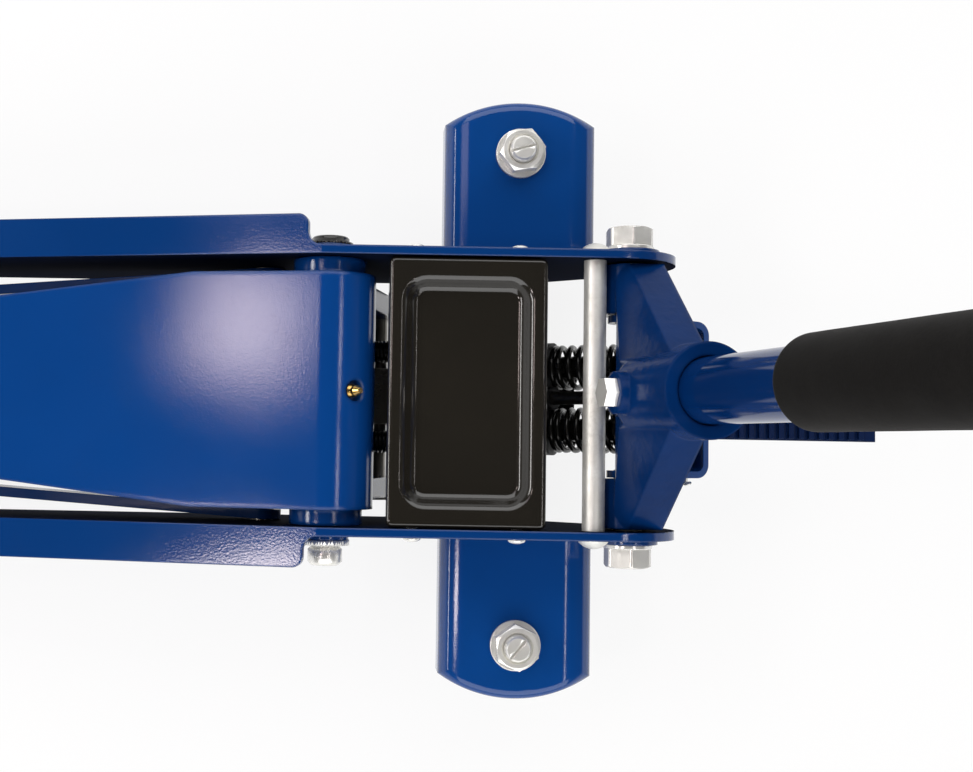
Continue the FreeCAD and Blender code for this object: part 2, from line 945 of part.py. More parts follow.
# Lift arm: a folded channel that tapers to two eyes, welded round a hub tube,
# with two lever webs below the hub
def lift_arm():
    length = size("ArmLength")
    hub = size("HubRadius")
    tip = size("ArmTipRadius")
    wide = size("HubHalfLength")
    narrow = size("ArmTipHalfWidth")
    wall = size("ArmWall")
    skin = size("ArmTopThickness")
    start = -size("ArmTaperStart")
    end = size("ArmTaperBehind") - length
    reach = -length - tip - 2
    side = [
        (0, -hub, 0, 0, -1),
        (-length, -tip),
        (-length, tip, -length, 0, -1),
        (0, hub),
    ]
    whole_side = profile("ArmSide", side, wide + 5)
    whole_plan = plan("ArmPlan", arm_plan(hub, start, end, reach, wide, narrow), hub + 5)
    whole = common("ArmWhole", whole_side, whole_plan)
    inside = [
        (-hub * 0.6, -3 * hub),
        (-hub * 0.6, hub - skin),
        (-length, tip - skin),
        (reach - 5, tip - skin),
        (reach - 5, -3 * hub),
    ]
    hollow_side = profile("ArmHollowSide", inside, wide + 5)
    hollow_points = arm_plan(hub, start, end, reach - 5, wide - wall, narrow - wall)
    hollow_plan = plan("ArmHollowPlan", hollow_points, 4 * hub)
    hollow = common("ArmHollow", hollow_side, hollow_plan)
    mouth_end = end + narrow / 2
    mouth = place(
        box("ArmMouth", length + tip + 5 + mouth_end, 2 * (narrow - wall), 3 * hub),
        -length - tip - 5, -(narrow - wall), -hub,
    )
    channel = cut("ArmChannel", whole, hollow, mouth)
    tube = place(cylinder("ArmHub", hub, 2 * wide), y=-wide, turn=ALONG_Y)
    collar_half = wide + size("CollarLength")
    collar = cylinder("ArmCollar", size("CollarRadius"), 2 * collar_half)
    place(collar, y=-collar_half, turn=ALONG_Y)
    angle = size("LeverAngle")
    pin_x = size("LeverRadius") * cosine(angle)
    pin_z = -size("LeverRadius") * sine(angle)
    root_half = size("LeverRootWidth")
    eye = size("LeverEyeRadius")
    web = [
        (root_half * sine(angle), root_half * cosine(angle)),
        (-root_half * sine(angle), -root_half * cosine(angle)),
        (pin_x - eye * sine(angle), pin_z - eye * cosine(angle)),
        (pin_x + eye * sine(angle), pin_z + eye * cosine(angle), pin_x, pin_z, 1),
    ]
    webs = []
    for number, sign in enumerate((1, -1)):
        web_body = profile(f"ArmLever{number}", web, size("LeverThickness") / 2)
        middle = size("LeverInner") + size("LeverThickness") / 2
        webs.append(place(web_body, y=sign * middle))
    bar_angle = size("SpringBarAngle")
    bar_start = size("ReturnSpringY") - size("ReturnSpringRadius")
    bar_length = size("LeverInner") + 1 - bar_start
    bar_x = size("SpringBarRadius") * cosine(bar_angle)
    bar_z = -size("SpringBarRadius") * sine(bar_angle)
    for number, turn in enumerate((ALONG_Y, ALONG_MINUS_Y)):
        stub = cylinder(f"ArmSpringBar{number}", size("SpringBarSize"), bar_length)
        side_y = bar_start if turn is ALONG_Y else -bar_start
        webs.append(place(stub, bar_x, side_y, bar_z, turn))
    joined = fuse("ArmJoined", channel, tube, collar, *webs)
    long_half = 2 * wide
    bores = [
        through("ArmBore", size("PivotShaftRadius"), long_half, 0, 0),
        through("ArmTipBore", size("TipPinRadius"), long_half, -length, 0),
        through("ArmLeverBore", size("LeverPinRadius"), long_half, pin_x, pin_z),
    ]
    nipple = size("NippleAngle")
    well = cylinder("ArmNippleWell", size("NippleHoleRadius"), hub)
    depth = hub * 0.7
    place(well, depth * sine(nipple), 0, depth * cosine(nipple), (Y_AXIS, nipple))
    arm = cut("lift_arm", joined, *bores, well)
    return place(arm, z=pivot_z, turn=(-Y_AXIS, size("ArmDrop")))


def arm_plan(rear, start, end, reach, wide, narrow):
    return [
        (rear, -wide),
        (rear, wide),
        (start, wide),
        (end, narrow),
        (reach, narrow),
        (reach, -narrow),
        (end, -narrow),
        (start, -wide),
    ]


def through(label, radius, half_length, x, z):
    # A round hole across the jack, wider than its pin by the running fit.
    item = cylinder(label, radius + fit, 2 * half_length)
    return place(item, x, -half_length, z, ALONG_Y)


keep(lift_arm())


def on_arm(forward, up):
    # A place in the jack's frame from one given in the resting arm's own frame.
    drop = size("ArmDrop")
    return (
        forward * cosine(drop) - up * sine(drop),
        forward * sine(drop) + up * cosine(drop) + pivot_z,
    )


lever_local_x = size("LeverRadius") * cosine(size("LeverAngle"))
lever_local_z = -size("LeverRadius") * sine(size("LeverAngle"))
lever_x, lever_z = on_arm(lever_local_x, lever_local_z)
bar_local_x = size("SpringBarRadius") * cosine(size("SpringBarAngle"))
bar_local_z = -size("SpringBarRadius") * sine(size("SpringBarAngle"))
bar_x, bar_z = on_arm(bar_local_x, bar_local_z)
lever_outer = size("LeverInner") + size("LeverThickness")


def cross_pin(label, radius, half_length, x, z, head=None):
    # A round pin across the jack. A head, where it has one, is (radius, thickness).
    if head is None:
        item = cylinder(label, radius, 2 * half_length)
        return keep(place(item, x, -half_length, z, ALONG_Y))
    wide, thick = head
    points = [
        (0, -half_length - thick),
        (wide, -half_length - thick),
        (wide, -half_length),
        (radius, -half_length),
        (radius, half_length),
        (wide, half_length),
        (wide, half_length + thick),
        (0, half_length + thick),
    ]
    return keep(place(turned(label, points), x, 0, z, ALONG_Y))


cross_pin(
    "lever_pin", size("LeverPinRadius"), lever_outer + fit, lever_x, lever_z,
    (size("LeverPinHead"), size("PinHeadThickness")),
)


# Grease nipple in its well on the hub
def grease_nipple():
    low = size("HubRadius") * 0.7
    points = [
        (0, low),
        (3.8, low),
        (3.8, low + 5),
        (2.2, low + 6),
        (2.2, low + 8),
        (3.2, low + 9.5),
        (1.6, low + 13),
        (0, low + 13),
    ]
    angle = size("NippleAngle") - size("ArmDrop")
    return keep(place(turned("grease_nipple", points), z=pivot_z, turn=(Y_AXIS, angle)))


grease_nipple()


# Radius rods: flat bars that keep the saddle level
def radius_rod():
    length = size("ArmLength")
    half = size("RodHalfDepth")
    skew = size("RodSkew")
    points = [
        (0, -half, 0, 0, -1),
        (-length, -half),
        (-length, half, -length, 0, -1),
        (0, half),
    ]
    bar = profile("RodBar", points, size("RodThickness") / 2)
    place(bar, y=size("RodThickness") / 2, turn=(Z_AXIS, skew))
    rear_bore = through("RodRearBore", size("AnchorPinRadius"), as_size(40), 0, 0)
    front_bore = through("RodFrontBore", size("AnchorPinRadius"), as_size(40), -length, 0)
    rod = cut("radius_rod_left", bar, rear_bore, front_bore)
    return place(rod, anchor_x, size("RodInner"), anchor_z, (-Y_AXIS, size("ArmDrop")))


left_rod = keep(radius_rod())
keep(mirrored("radius_rod_right", left_rod))


# Stub pins that carry the radius rods on the side plates
def rod_anchor():
    pin_radius = size("AnchorPinRadius")
    head = pin_radius + 3
    start = size("RodInner") - 2.2
    points = [
        (0, start),
        (pin_radius, start),
        (pin_radius, outer + fit),
        (head, outer + fit),
        (head - 2, outer + 3),
        (0, outer + 3),
    ]
    return place(turned("rod_anchor_left", points), anchor_x, 0, anchor_z, ALONG_Y)


left_anchor = keep(rod_anchor())
keep(mirrored("rod_anchor_right", left_anchor))


# Saddle bracket: a forged block with two eyes each side and the saddle's socket
def saddle_bracket():
    eye = size("BracketEyeRadius")
    low = size("BracketLowEye")
    half = size("BracketHalfWidth")
    seat = size("BracketBossWidth")
    axis_x = tip_x - size("SaddleAxisForward")
    top = size("BracketTop")
    waist = top - 26
    points = [
        (tip_x + eye, tip_z),
        (axis_x + seat, waist),
        (axis_x + seat, top),
        (axis_x - seat, top),
        (axis_x - seat, waist),
        (low_eye_x - low, low_eye_z),
        (low_eye_x, low_eye_z - low, low_eye_x, low_eye_z, 1),
        (tip_x, tip_z - eye),
        (tip_x + eye, tip_z, tip_x, tip_z, 1),
    ][1:]
    block = profile("BracketBlock", points, half)
    slot_half = size("BracketSlot")
    slot_start = low_eye_x - low - 5
    slot = place(
        box("BracketSlotRoom", tip_x + eye + 5 - slot_start, 2 * slot_half, waist - 4),
        slot_start, -slot_half, 0,
    )
    socket = place(cylinder("BracketSocket", size("SaddleStemRadius") + fit, 60), axis_x, 0, waist - 20)
    bores = [
        through("BracketTipBore", size("TipPinRadius"), as_size(60), tip_x, tip_z),
        through("BracketLowBore", size("AnchorPinRadius"), as_size(60), low_eye_x, low_eye_z),
    ]
    return keep(cut("saddle_bracket", block, slot, socket, *bores))


saddle_bracket()
cross_pin(
    "tip_pin", size("TipPinRadius"), size("ArmTipHalfWidth") + fit, tip_x, tip_z,
    (size("TipPinHead"), size("PinHeadThickness")),
)
rod_front_inner = size("RodInner") - size("ArmLength") * sine(size("RodSkew"))
rod_front_outer = rod_front_inner + size("RodThickness") + 1
cross_pin(
    "rod_pin", size("AnchorPinRadius"), rod_front_outer, low_eye_x, low_eye_z,
    (size("RodPinHead"), size("PinHeadThickness")),
)


# Saddle dish with four low lugs, and its rubber pad
def saddle():
    axis_x = tip_x - size("SaddleAxisForward")
    top = size("BracketTop")
    radius = size("SaddleRadius")
    stem = size("SaddleStemRadius")
    tall = size("SaddleHeight")
    floor = 6
    points = [
        (0, -size("SaddleStemLength")),
        (stem, -size("SaddleStemLength")),
        (stem, 0),
        (radius * 0.6, 0),
        (radius, floor),
        (radius, tall),
        (radius - 5, tall),
        (radius - 7, floor),
        (0, floor),
    ]
    base = top + size("SideGap") / 2
    dish = place(turned("saddle", points), axis_x, 0, base)
    pad_radius = size("SaddlePadRadius")
    high = floor + 5 + size("SaddlePadHeight")
    rubber = [
        (0, floor + 0.3),
        (pad_radius, floor + 0.3),
        (pad_radius, high - 2),
        (pad_radius - 2, high, pad_radius - 2, high - 2, 1),
        (0, high),
    ]
    cushion = place(turned("saddle_pad", rubber), axis_x, 0, base)
    return keep(dish), keep(cushion)


saddle()


# Power unit: one casting with the cylinder, the block, its mounting ears and two pump sockets
stroke_x = yoke_x + size("CrankRadius") * sine(90 - size("PumpTilt"))
stroke_z = yoke_z - size("CrankRadius") * cosine(90 - size("PumpTilt"))


def on_pump(distance):
    # A place on the pump axis, measured up from the crank's middle position.
    tilt = size("PumpTilt")
    return stroke_x + distance * sine(tilt), stroke_z + distance * cosine(tilt)


def power_unit():
    ram_z = size("RamHeight")
    front = size("BlockFront")
    block_long = size("BlockLength")
    half = size("BlockHalfWidth")
    low = size("BlockBottom")
    top = size("BlockTop")
    gland_end = size("GlandFront") + size("GlandLength")
    tilt = size("PumpTilt")
    block = place(box("UnitBlock", block_long, 2 * half, top - low), front, -half, low)
    tube = cylinder("UnitCylinder", size("CylinderRadius"), size("CylinderEnd") - gland_end)
    place(tube, gland_end, 0, ram_z, ALONG_X)
    gland = cylinder("UnitGland", size("GlandRadius"), size("GlandLength"))
    place(gland, size("GlandFront"), 0, ram_z, ALONG_X)
    ear = place(
        box("UnitEar", size("EarLength"), 2 * (inner - fit), 2 * size("EarHalfHeight")),
        front, -(inner - fit), ram_z - size("EarHalfHeight"),
    )
    solids = [block, tube, gland, ear]
    holes = []
    face_x, face_z = on_pump(-size("PumpSocketFace"))
    depth = 45
    root_x, root_z = on_pump(-size("PumpSocketFace") - depth)
    for number, sign in enumerate((1, -1)):
        socket = cylinder(f"UnitPump{number}", size("PumpSocketRadius"), depth)
        solids.append(place(socket, root_x, sign * size("PumpY"), root_z, (Y_AXIS, tilt)))
        deepest = size("PlungerReach") + size("CrankRadius")
        bore_length = deepest - size("PumpSocketFace") + 1
        bore = cylinder(f"UnitPumpBore{number}", size("PlungerRadius") + fit, bore_length)
        bore_x, bore_z = on_pump(-deepest)
        holes.append(place(bore, bore_x, sign * size("PumpY"), bore_z, (Y_AXIS, tilt)))
        lug = cylinder(f"UnitSpringLug{number}", 3, 8)
        lug_y = sign * size("ReturnSpringY")
        solids.append(place(lug, front - 6, lug_y, size("ReturnSpringHeight"), ALONG_X))
    stem = size("ValveStemLength")
    valve = size("ValveTilt")
    seat = cylinder("UnitValveSeat", size("ValveStemRadius") + 3, 22)
    place(seat, yoke_x + stem * sine(valve), 0, yoke_z + stem * cosine(valve), (Y_AXIS, valve))
    solids.append(seat)
    valve_bore = cylinder("UnitValveBore", size("ValveStemRadius") + fit, 30)
    start = stem - 5
    place(valve_bore, yoke_x + start * sine(valve), 0, yoke_z + start * cosine(valve), (Y_AXIS, valve))
    holes.append(valve_bore)
    ram_bore_length = size("RamRear") + 2 - size("GlandFront") + 5
    ram_bore = cylinder("UnitRamBore", size("RamRadius") + fit, ram_bore_length)
    holes.append(place(ram_bore, size("GlandFront") - 5, 0, ram_z, ALONG_X))
    ear_bore = cylinder("UnitEarBore", size("UnitBoltRadius") + fit, inner - half)
    holes.append(place(ear_bore, unit_bolt_x, half, ram_z, ALONG_Y))
    ear_bore_two = cylinder("UnitEarBoreTwo", size("UnitBoltRadius") + fit, inner - half)
    holes.append(place(ear_bore_two, unit_bolt_x, -inner, ram_z, ALONG_Y))
    whole = fuse("UnitWhole", *solids)
    return keep(cut("power_unit", whole, *holes))


power_unit()


# Bolts that hold the power unit between the plates
def unit_bolt():
    half = size("BlockHalfWidth")
    shank_length = outer + fit - half - 1
    shank = cylinder("UnitBoltShank", size("UnitBoltRadius"), shank_length)
    head = place(hexagon("UnitBoltHead", as_size(17), 6), z=shank_length)
    bolt = fuse("unit_bolt_left", shank, head)
    return place(bolt, unit_bolt_x, half + 1, size("RamHeight"), ALONG_Y)


left_unit_bolt = keep(unit_bolt())
keep(mirrored("unit_bolt_right", left_unit_bolt))


# Ram, and the crosshead whose slot takes the lever pin
def ram():
    half = size("CrossheadHalfLength")
    start = lever_x + half
    rod = cylinder("ram", size("RamRadius"), size("RamRear") - start)
    keep(place(rod, start, 0, size("RamHeight"), ALONG_X))
    wall = size("CrossheadWall")
    low = size("SlotBottom") - wall
    top = size("SlotTop") + wall
    points = [
        (lever_x - half, low),
        (lever_x + half, low),
        (lever_x + half, top),
        (lever_x - half, top),
    ]
    body = profile("CrossheadBlock", points, size("CrossheadHalfWidth"))
    slot_half = size("SlotHalfLength")
    slot_points = rounded(
        lever_x - slot_half, lever_x + slot_half, size("SlotBottom"), size("SlotTop"), slot_half - 1
    )
    slot = profile("CrossheadSlot", slot_points, 2 * size("CrossheadHalfWidth"))
    return keep(cut("crosshead", body, slot))


ram()


# Return springs, drawn as the tubes that their coils fill
def return_spring():
    radius = size("ReturnSpringRadius")
    start = bar_x + size("SpringBarSize") + 0.4
    end = size("BlockFront") - 6.4
    points = [
        (radius - size("SpringWire"), 0),
        (radius, 0),
        (radius, end - start),
        (radius - size("SpringWire"), end - start),
    ]
    spring = turned("return_spring_left", points)
    return place(spring, start, size("ReturnSpringY"), size("ReturnSpringHeight"), ALONG_X)


left_return = keep(return_spring())
keep(mirrored("return_spring_right", left_return))


# Tray with a sloping recess
def tray():
    left = size("TrayFront")
    right = left + size("TrayLength")
    half = size("TrayHalfWidth")
    corner = size("TrayCorner")
    sheet_thickness = size("TraySheet")
    depth = size("TrayDepth")
    top = size("TrayTop")
    body = named("PartDesign::Body", "tray")
    rim_points = rounded(left, right, -half, half, corner)
    outer_plan = outline(body, "TrayOuter", "XY_Plane", rim_points, ((0, 0, top), None))
    pad(body, outer_plan, depth, reverse=True)
    under_half = half - sheet_thickness
    under_points = rounded(
        left + sheet_thickness, right - sheet_thickness, -under_half, under_half, corner / 2
    )
    under = outline(body, "TrayUnder", "XY_Plane", under_points, ((0, 0, top - depth), None))
    pocket(body, under, depth - sheet_thickness, reverse=True)
    margin_x = size("RecessMarginX")
    margin_y = size("RecessMarginY")
    slope = size("RecessSlope")
    round_corner = size("RecessCorner")
    dish = size("RecessDepth")

    def ring(spread, label, level):
        wide = rounded(
            left + margin_x - spread, right - margin_x + spread,
            -half + margin_y - spread, half - margin_y + spread, round_corner,
        )
        return outline(body, label, "XY_Plane", wide, ((0, 0, level), None))

    outside = [
        ring(sheet_thickness, "PanTop", top - sheet_thickness),
        ring(sheet_thickness - slope, "PanFloor", top - sheet_thickness - dish),
    ]
    loft(body, "Additive", outside)
    inside = [
        ring(as_size(0), "RecessTop", top),
        ring(-slope, "RecessFloor", top - dish),
    ]
    loft(body, "Subtractive", inside)
    screws = []
    for number, screw_x in enumerate(screw_places):
        height = size("TrayScrewHeight")
        screws.append(through(f"TrayScrewHole{number}", size("TrayScrewRadius"), 2 * half, screw_x, height))
    body.Label = "TrayPan"
    return keep(cut("tray", body, *screws))


tray()


# Screws that hold the tray to the side plates
def tray_screw(number, screw_x):
    radius = size("TrayScrewRadius")
    head = size("TrayScrewHead")
    start = size("TrayHalfWidth") - 6
    points = [
        (0, start),
        (radius, start),
        (radius, outer + fit),
        (head, outer + fit),
        (head, outer + 1.5),
        (head - 1.5, outer + 3),
        (0, outer + 3),
    ]
    screw = turned(f"tray_screw_left_{number}", points)
    keep(place(screw, screw_x, 0, size("TrayScrewHeight"), ALONG_Y))
    keep(mirrored(f"tray_screw_right_{number}", screw))


for screw_number, screw_place in enumerate(screw_places, start=1):
    tray_screw(screw_number, screw_place)


# Handle yoke: an arched casting with the handle's socket in its middle
def handle_yoke():
    end = size("YokeEnd")
    boss = size("YokeBossRadius")
    front = size("YokeFront")
    centre = size("YokeCentreHalf")
    arch = size("YokeArch")
    lean = size("HandleLean")
    length = size("SocketLength")
    socket = size("SocketRadius")
    crest = length * cosine(lean) - 8
    lean_x = length * sine(lean)
    body = named("PartDesign::Body", "YokeArch")
    end_section = [
        (-front, -boss * 0.7),
        (boss * 0.7, -boss * 0.7),
        (boss, boss * 0.9),
        (-front / 3, boss),
        (-front, boss * 0.6),
    ]
    centre_section = [
        (-front, arch - 10),
        (boss, arch - 10),
        (lean_x + 2, crest),
        (lean_x - socket * 0.7, crest),
        (-front, arch + 10),
    ]
    sections = []
    for number, (across, points) in enumerate(
        ((-end, end_section), (-centre, centre_section), (centre, centre_section), (end, end_section))
    ):
        shift = ((0, 0, -across), None)
        sections.append(outline(body, f"YokeSection{number}", "XZ_Plane", points, shift))
    loft(body, "Additive", sections)
    tube = cylinder("YokeSocket", socket, length - arch)
    place(tube, arch * sine(lean), 0, arch * cosine(lean), (Y_AXIS, lean))
    bosses = []
    for number, start in enumerate((-end, size("YokeBossInner"))):
        boss_body = cylinder(f"YokeBoss{number}", boss, end - size("YokeBossInner"))
        bosses.append(place(boss_body, 0, start, 0, ALONG_Y))
    clamp = size("ClampBoltHeight")
    pad_body = cylinder("YokeClampPad", size("ClampBoltFlats") / 2 + 4, size("ClampPadReach"))
    clamp_turn = (-Y_AXIS, size("ClampBoltTurn"))
    place(pad_body, clamp * sine(lean), 0, clamp * cosine(lean), clamp_turn)
    lug = yoke_lug()
    whole = fuse("YokeWhole", body, tube, *bosses, pad_body, lug)
    room_half = size("YokeBossInner")
    room = plan("YokeRoom", [(-60, -room_half), (60, -room_half), (60, room_half), (-60, room_half)], 30)
    place(room, z=arch - 30)
    lug_room = cut("YokeHollow", room, lug)
    face_height = clamp - 7
    face_room = place(box("YokeFaceRoom", 40, 2 * room_half, face_height), -front - 40, -room_half, 0)
    bore = cylinder("YokeBore", size("HandleRadius") + size("SocketFit"), 2 * length)
    place(bore, 0, 0, 0, (Y_AXIS, lean))
    pivot_bore = through("YokePivotBore", size("YokeBoltRadius"), 2 * end, 0, 0)
    clamp_bore = cylinder("YokeClampBore", size("ClampBoltRadius") + fit, 2 * size("ClampPadReach"))
    place(clamp_bore, clamp * sine(lean), 0, clamp * cosine(lean), clamp_turn)
    crank_angle = size("PumpTilt") - size("YokeStrokeMiddle")
    pin_bore = through(
        "YokeRollerBore", size("RollerPinRadius"), 2 * end,
        size("CrankRadius") * cosine(crank_angle), -size("CrankRadius") * sine(crank_angle),
    )
    yoke = cut("handle_yoke", whole, lug_room, face_room, bore, pivot_bore, clamp_bore, pin_bore)
    return keep(place(yoke, yoke_x, 0, yoke_z))


def crank_place(middle):
    # The roller's place from the yoke pivot, turned back from mid-stroke at rest.
    angle = size("PumpTilt") - middle
    return size("CrankRadius") * cosine(angle), -size("CrankRadius") * sine(angle)


def lug_outline():
    roller_x, roller_z = crank_place(size("YokeStrokeMiddle"))
    half = size("LugHalfWidth")
    arch = size("YokeArch")
    return [
        (roller_x - half, roller_z),
        (roller_x + half, roller_z, roller_x, roller_z, 1),
        (roller_x + half, arch + 6),
        (-half, arch + 6),
        (-half, 0),
    ]


def yoke_lug():
    item = profile("YokeLug", lug_outline(), size("LugThickness") / 2)
    return place(item, y=size("LugInner") + size("LugThickness") / 2)


handle_yoke()


# Yoke pivot bolts: hex heads outside, plain ends that also carry the pedal
def yoke_bolt():
    end = size("YokeBoltEnd")
    reach = outer + size("YokeDiscThickness") + fit
    thin = size("WasherThickness")
    shank = place(cylinder("YokeBoltShank", size("YokeBoltRadius"), reach - end), z=end)
    washer = place(cylinder("YokeBoltWasher", size("WasherRadius") - 1, thin), z=reach)
    head = place(hexagon("YokeBoltHex", size("NutFlats"), size("YokeBoltHead")), z=reach + thin)
    bolt = fuse("yoke_bolt_left", shank, washer, head)
    return place(bolt, yoke_x, 0, yoke_z, ALONG_Y)


left_bolt = keep(yoke_bolt())
keep(mirrored("yoke_bolt_right", left_bolt))


# Clamp bolt that holds the handle in its socket
def clamp_bolt():
    lean = size("HandleLean")
    clamp = size("ClampBoltHeight")
    start = size("HandleRadius") + 1.7
    face = size("ClampPadReach") + fit
    turn = (-Y_AXIS, size("ClampBoltTurn"))
    shank = place(cylinder("ClampShank", size("ClampBoltRadius"), face - start), z=start)
    head = place(hexagon("ClampHead", size("ClampBoltFlats"), size("ClampHeadHeight")), z=face)
    bolt = fuse("clamp_bolt", shank, head)
    return keep(place(bolt, yoke_x + clamp * sine(lean), 0, yoke_z + clamp * cosine(lean), turn))


clamp_bolt()


# Rollers that press the pump plungers, each on its own pin
def pump_roller(label, middle, far_end, sign):
    roller_x, roller_z = crank_place(middle)
    roller = size("RollerRadius")
    half = size("RollerHalfWidth")
    pump_y = size("PumpY")
    pin_radius = size("RollerPinRadius")
    points = [
        (0, pump_y - half),
        (roller, pump_y - half),
        (roller, pump_y + half),
        (pin_radius, pump_y + half),
        (pin_radius, far_end),
        (0, far_end),
    ]
    turn = ALONG_Y if sign > 0 else ALONG_MINUS_Y
    return keep(place(turned(label, points), yoke_x + roller_x, 0, yoke_z + roller_z, turn))


pump_roller("yoke_roller", size("YokeStrokeMiddle"), size("LugInner") + size("LugThickness"), 1)
pump_roller("pedal_roller", size("PedalStrokeMiddle"), size("PedalOuter"), -1)


# Plungers with their spring caps
def plunger(label, middle, sign):
    radius = size("PlungerRadius")
    cap = size("PlungerCapRadius")
    face = size("CrankRadius") * sine(middle) - size("RollerRadius") - size("RollerGap")
    under = face - size("PlungerCapThickness")
    points = [
        (0, -size("PlungerReach")),
        (radius, -size("PlungerReach")),
        (radius, under),
        (cap, under),
        (cap, face - 1.5),
        (cap - 1.5, face),
        (0, face),
    ]
    item = turned(label, points)
    return keep(place(item, stroke_x, sign * size("PumpY"), stroke_z, (Y_AXIS, size("PumpTilt"))))


def pump_spring(label, middle, sign):
    face = size("CrankRadius") * sine(middle) - size("RollerRadius") - size("RollerGap")
    high = face - size("PlungerCapThickness") - 0.3
    low = -size("PumpSocketFace") + 0.3
    radius = size("PumpSpringRadius")
    points = [
        (radius - size("SpringWire"), low),
        (radius, low),
        (radius, high),
        (radius - size("SpringWire"), high),
    ]
    item = turned(label, points)
    return keep(place(item, stroke_x, sign * size("PumpY"), stroke_z, (Y_AXIS, size("PumpTilt"))))


plunger("plunger_left", size("YokeStrokeMiddle"), 1)
plunger("plunger_right", size("PedalStrokeMiddle"), -1)
pump_spring("pump_spring_left", size("YokeStrokeMiddle"), 1)
pump_spring("pump_spring_right", size("PedalStrokeMiddle"), -1)


# Release valve: a stem with a ball end that the handle's cup turns
def valve_stem():
    stem = size("ValveStemRadius")
    length = size("ValveStemLength") + 22
    ball = sphere("ValveBall", size("BallRadius"))
    shank = place(cylinder("ValveShank", stem, length), turn=(Y_AXIS, size("ValveTilt")))
    whole = fuse("valve_stem", ball, shank)
    return keep(place(whole, yoke_x, 0, yoke_z))


valve_stem()


# Handle: lower tube with the valve cup, upper tube, foam sleeve and grip
def handle():
    lean = (Y_AXIS, size("HandleLean"))
    radius = size("HandleRadius")
    joint = size("HandleJoint")
    wall = size("HandleWall")
    ball = size("BallRadius") + size("BallFit")
    cup = size("CupRadius")
    cup_end = size("CupLength")
    points = [
        (ball, 0),
        (cup, 0),
        (cup, cup_end - 4),
        (radius, cup_end),
        (radius, joint),
        (radius - wall, joint),
        (radius - wall, cup_end + 8),
        (ball, cup_end + 8),
    ]
    lower = turned("handle_tube", points)
    keep(place(lower, yoke_x, 0, yoke_z, lean))
    end = size("HandleLength")
    spigot = radius - wall - fit
    upper_points = [
        (0, joint - 60),
        (spigot, joint - 60),
        (spigot, joint + fit),
        (radius, joint + fit),
        (radius, end - 2),
        (radius - 2, end),
        (0, end),
    ]
    keep(place(turned("handle_upper", upper_points), yoke_x, 0, yoke_z, lean))
    foam_radius = size("FoamRadius")
    start = size("FoamStart")
    stop = start + size("FoamLength")
    foam_points = [
        (radius + 0.3, start),
        (foam_radius, start),
        (foam_radius, stop),
        (radius + 0.3, stop),
    ]
    keep(place(turned("foam_sleeve", foam_points), yoke_x, 0, yoke_z, lean))
    grip_start = end - size("GripLength")
    grip_radius = size("GripRadius")
    grip_points = [
        (radius + fit, grip_start),
        (grip_radius, grip_start),
        (grip_radius, end + 1),
        (grip_radius - 3, end + 4),
        (0, end + 4),
        (0, end + fit),
        (radius + fit, end + fit),
    ]
    keep(place(turned("handle_grip", grip_points), yoke_x, 0, yoke_z, lean))


handle()


# Foot pedal: a bracket of two cheeks and a rear web, a pad bar and a ribbed pad
def pedal():
    outside = size("PedalOuter")
    cheek = size("PedalCheek")
    eye = size("PedalEyeRadius")
    rear = size("PedalRearX")
    web_top = size("PedalWebTop")
    web_low = web_top - size("PedalWebHeight")
    points = [
        (yoke_x + eye * cosine(20), yoke_z + eye * sine(20)),
        (yoke_x - eye, yoke_z, yoke_x, yoke_z, 1),
        (yoke_x, yoke_z - eye, yoke_x, yoke_z, 1),
        (rear - 8, web_low),
        (rear, web_low + 8),
        (rear, web_top),
    ]
    side = profile("PedalSide", points, outside)
    corner = size("PedalCorner")
    start = yoke_x - 2 * eye - corner
    shell = plan("PedalPlan", rounded(start, rear, -outside, outside, corner), 2 * yoke_z)
    room = outside - cheek
    room_points = rounded(start - corner, rear - cheek, -room, room, corner - cheek)
    inside = plan("PedalInside", room_points, 2 * yoke_z)
    roller_x, roller_z = crank_place(size("PedalStrokeMiddle"))
    lug_half = size("LugHalfWidth")
    bracket = cut("PedalBracket", common("PedalFold", side, shell), inside)
    lug_points = [
        (yoke_x + roller_x, yoke_z + roller_z - lug_half),
        (yoke_x + roller_x, yoke_z + roller_z + lug_half, yoke_x + roller_x, yoke_z + roller_z, 1),
        (yoke_x, yoke_z + eye / 2),
        (yoke_x, yoke_z - eye / 2),
    ]
    lug = place(profile("PedalLug", lug_points, cheek / 2), y=-(outside - cheek / 2))
    pad_top = size("PedalPadTop")
    pad_front = size("PedalPadFront")
    pad_long = size("PedalPadLength")
    bar_half = size("PedalPadHalfWidth") - 4
    bar = place(
        box("PedalBar", pad_front + pad_long - 4 - rear, 2 * bar_half, 6),
        rear - cheek / 2, -bar_half, pad_top - size("PedalPadThickness") - 6.2,
    )
    whole = fuse("PedalWhole", bracket, lug, bar)
    bores = [
        through("PedalPivotBore", size("YokeBoltRadius"), as_size(60), yoke_x, yoke_z),
        through("PedalPinBore", size("PedalPinRadius"), as_size(60), rear - 12, web_top - 16),
    ]
    roller_bore = cylinder("PedalRollerBore", size("RollerPinRadius") + fit, 30)
    bores.append(place(roller_bore, yoke_x + roller_x, -60, yoke_z + roller_z, ALONG_Y))
    keep(cut("pedal_bracket", whole, *bores))
    cross_pin("pedal_pin", size("PedalPinRadius"), outside + 5, rear - 12, web_top - 16)
    pad_half = size("PedalPadHalfWidth")
    plate = place(
        box("PedalPadPlate", pad_long, 2 * pad_half, size("PedalPadThickness") - 3),
        pad_front, -pad_half, pad_top - size("PedalPadThickness"),
    )
    ribs = []
    pitch = size("PedalRibPitch")
    for number in range(int((pad_long.number - 6) / pitch.number)):
        rib = box(f"PedalRib{number}", 3, 2 * pad_half - 2, 3.5)
        ribs.append(place(rib, pad_front + 5 + number * pitch, -pad_half + 1, pad_top - 3.5))
    keep(fuse("pedal_pad", plate, *ribs))


pedal()


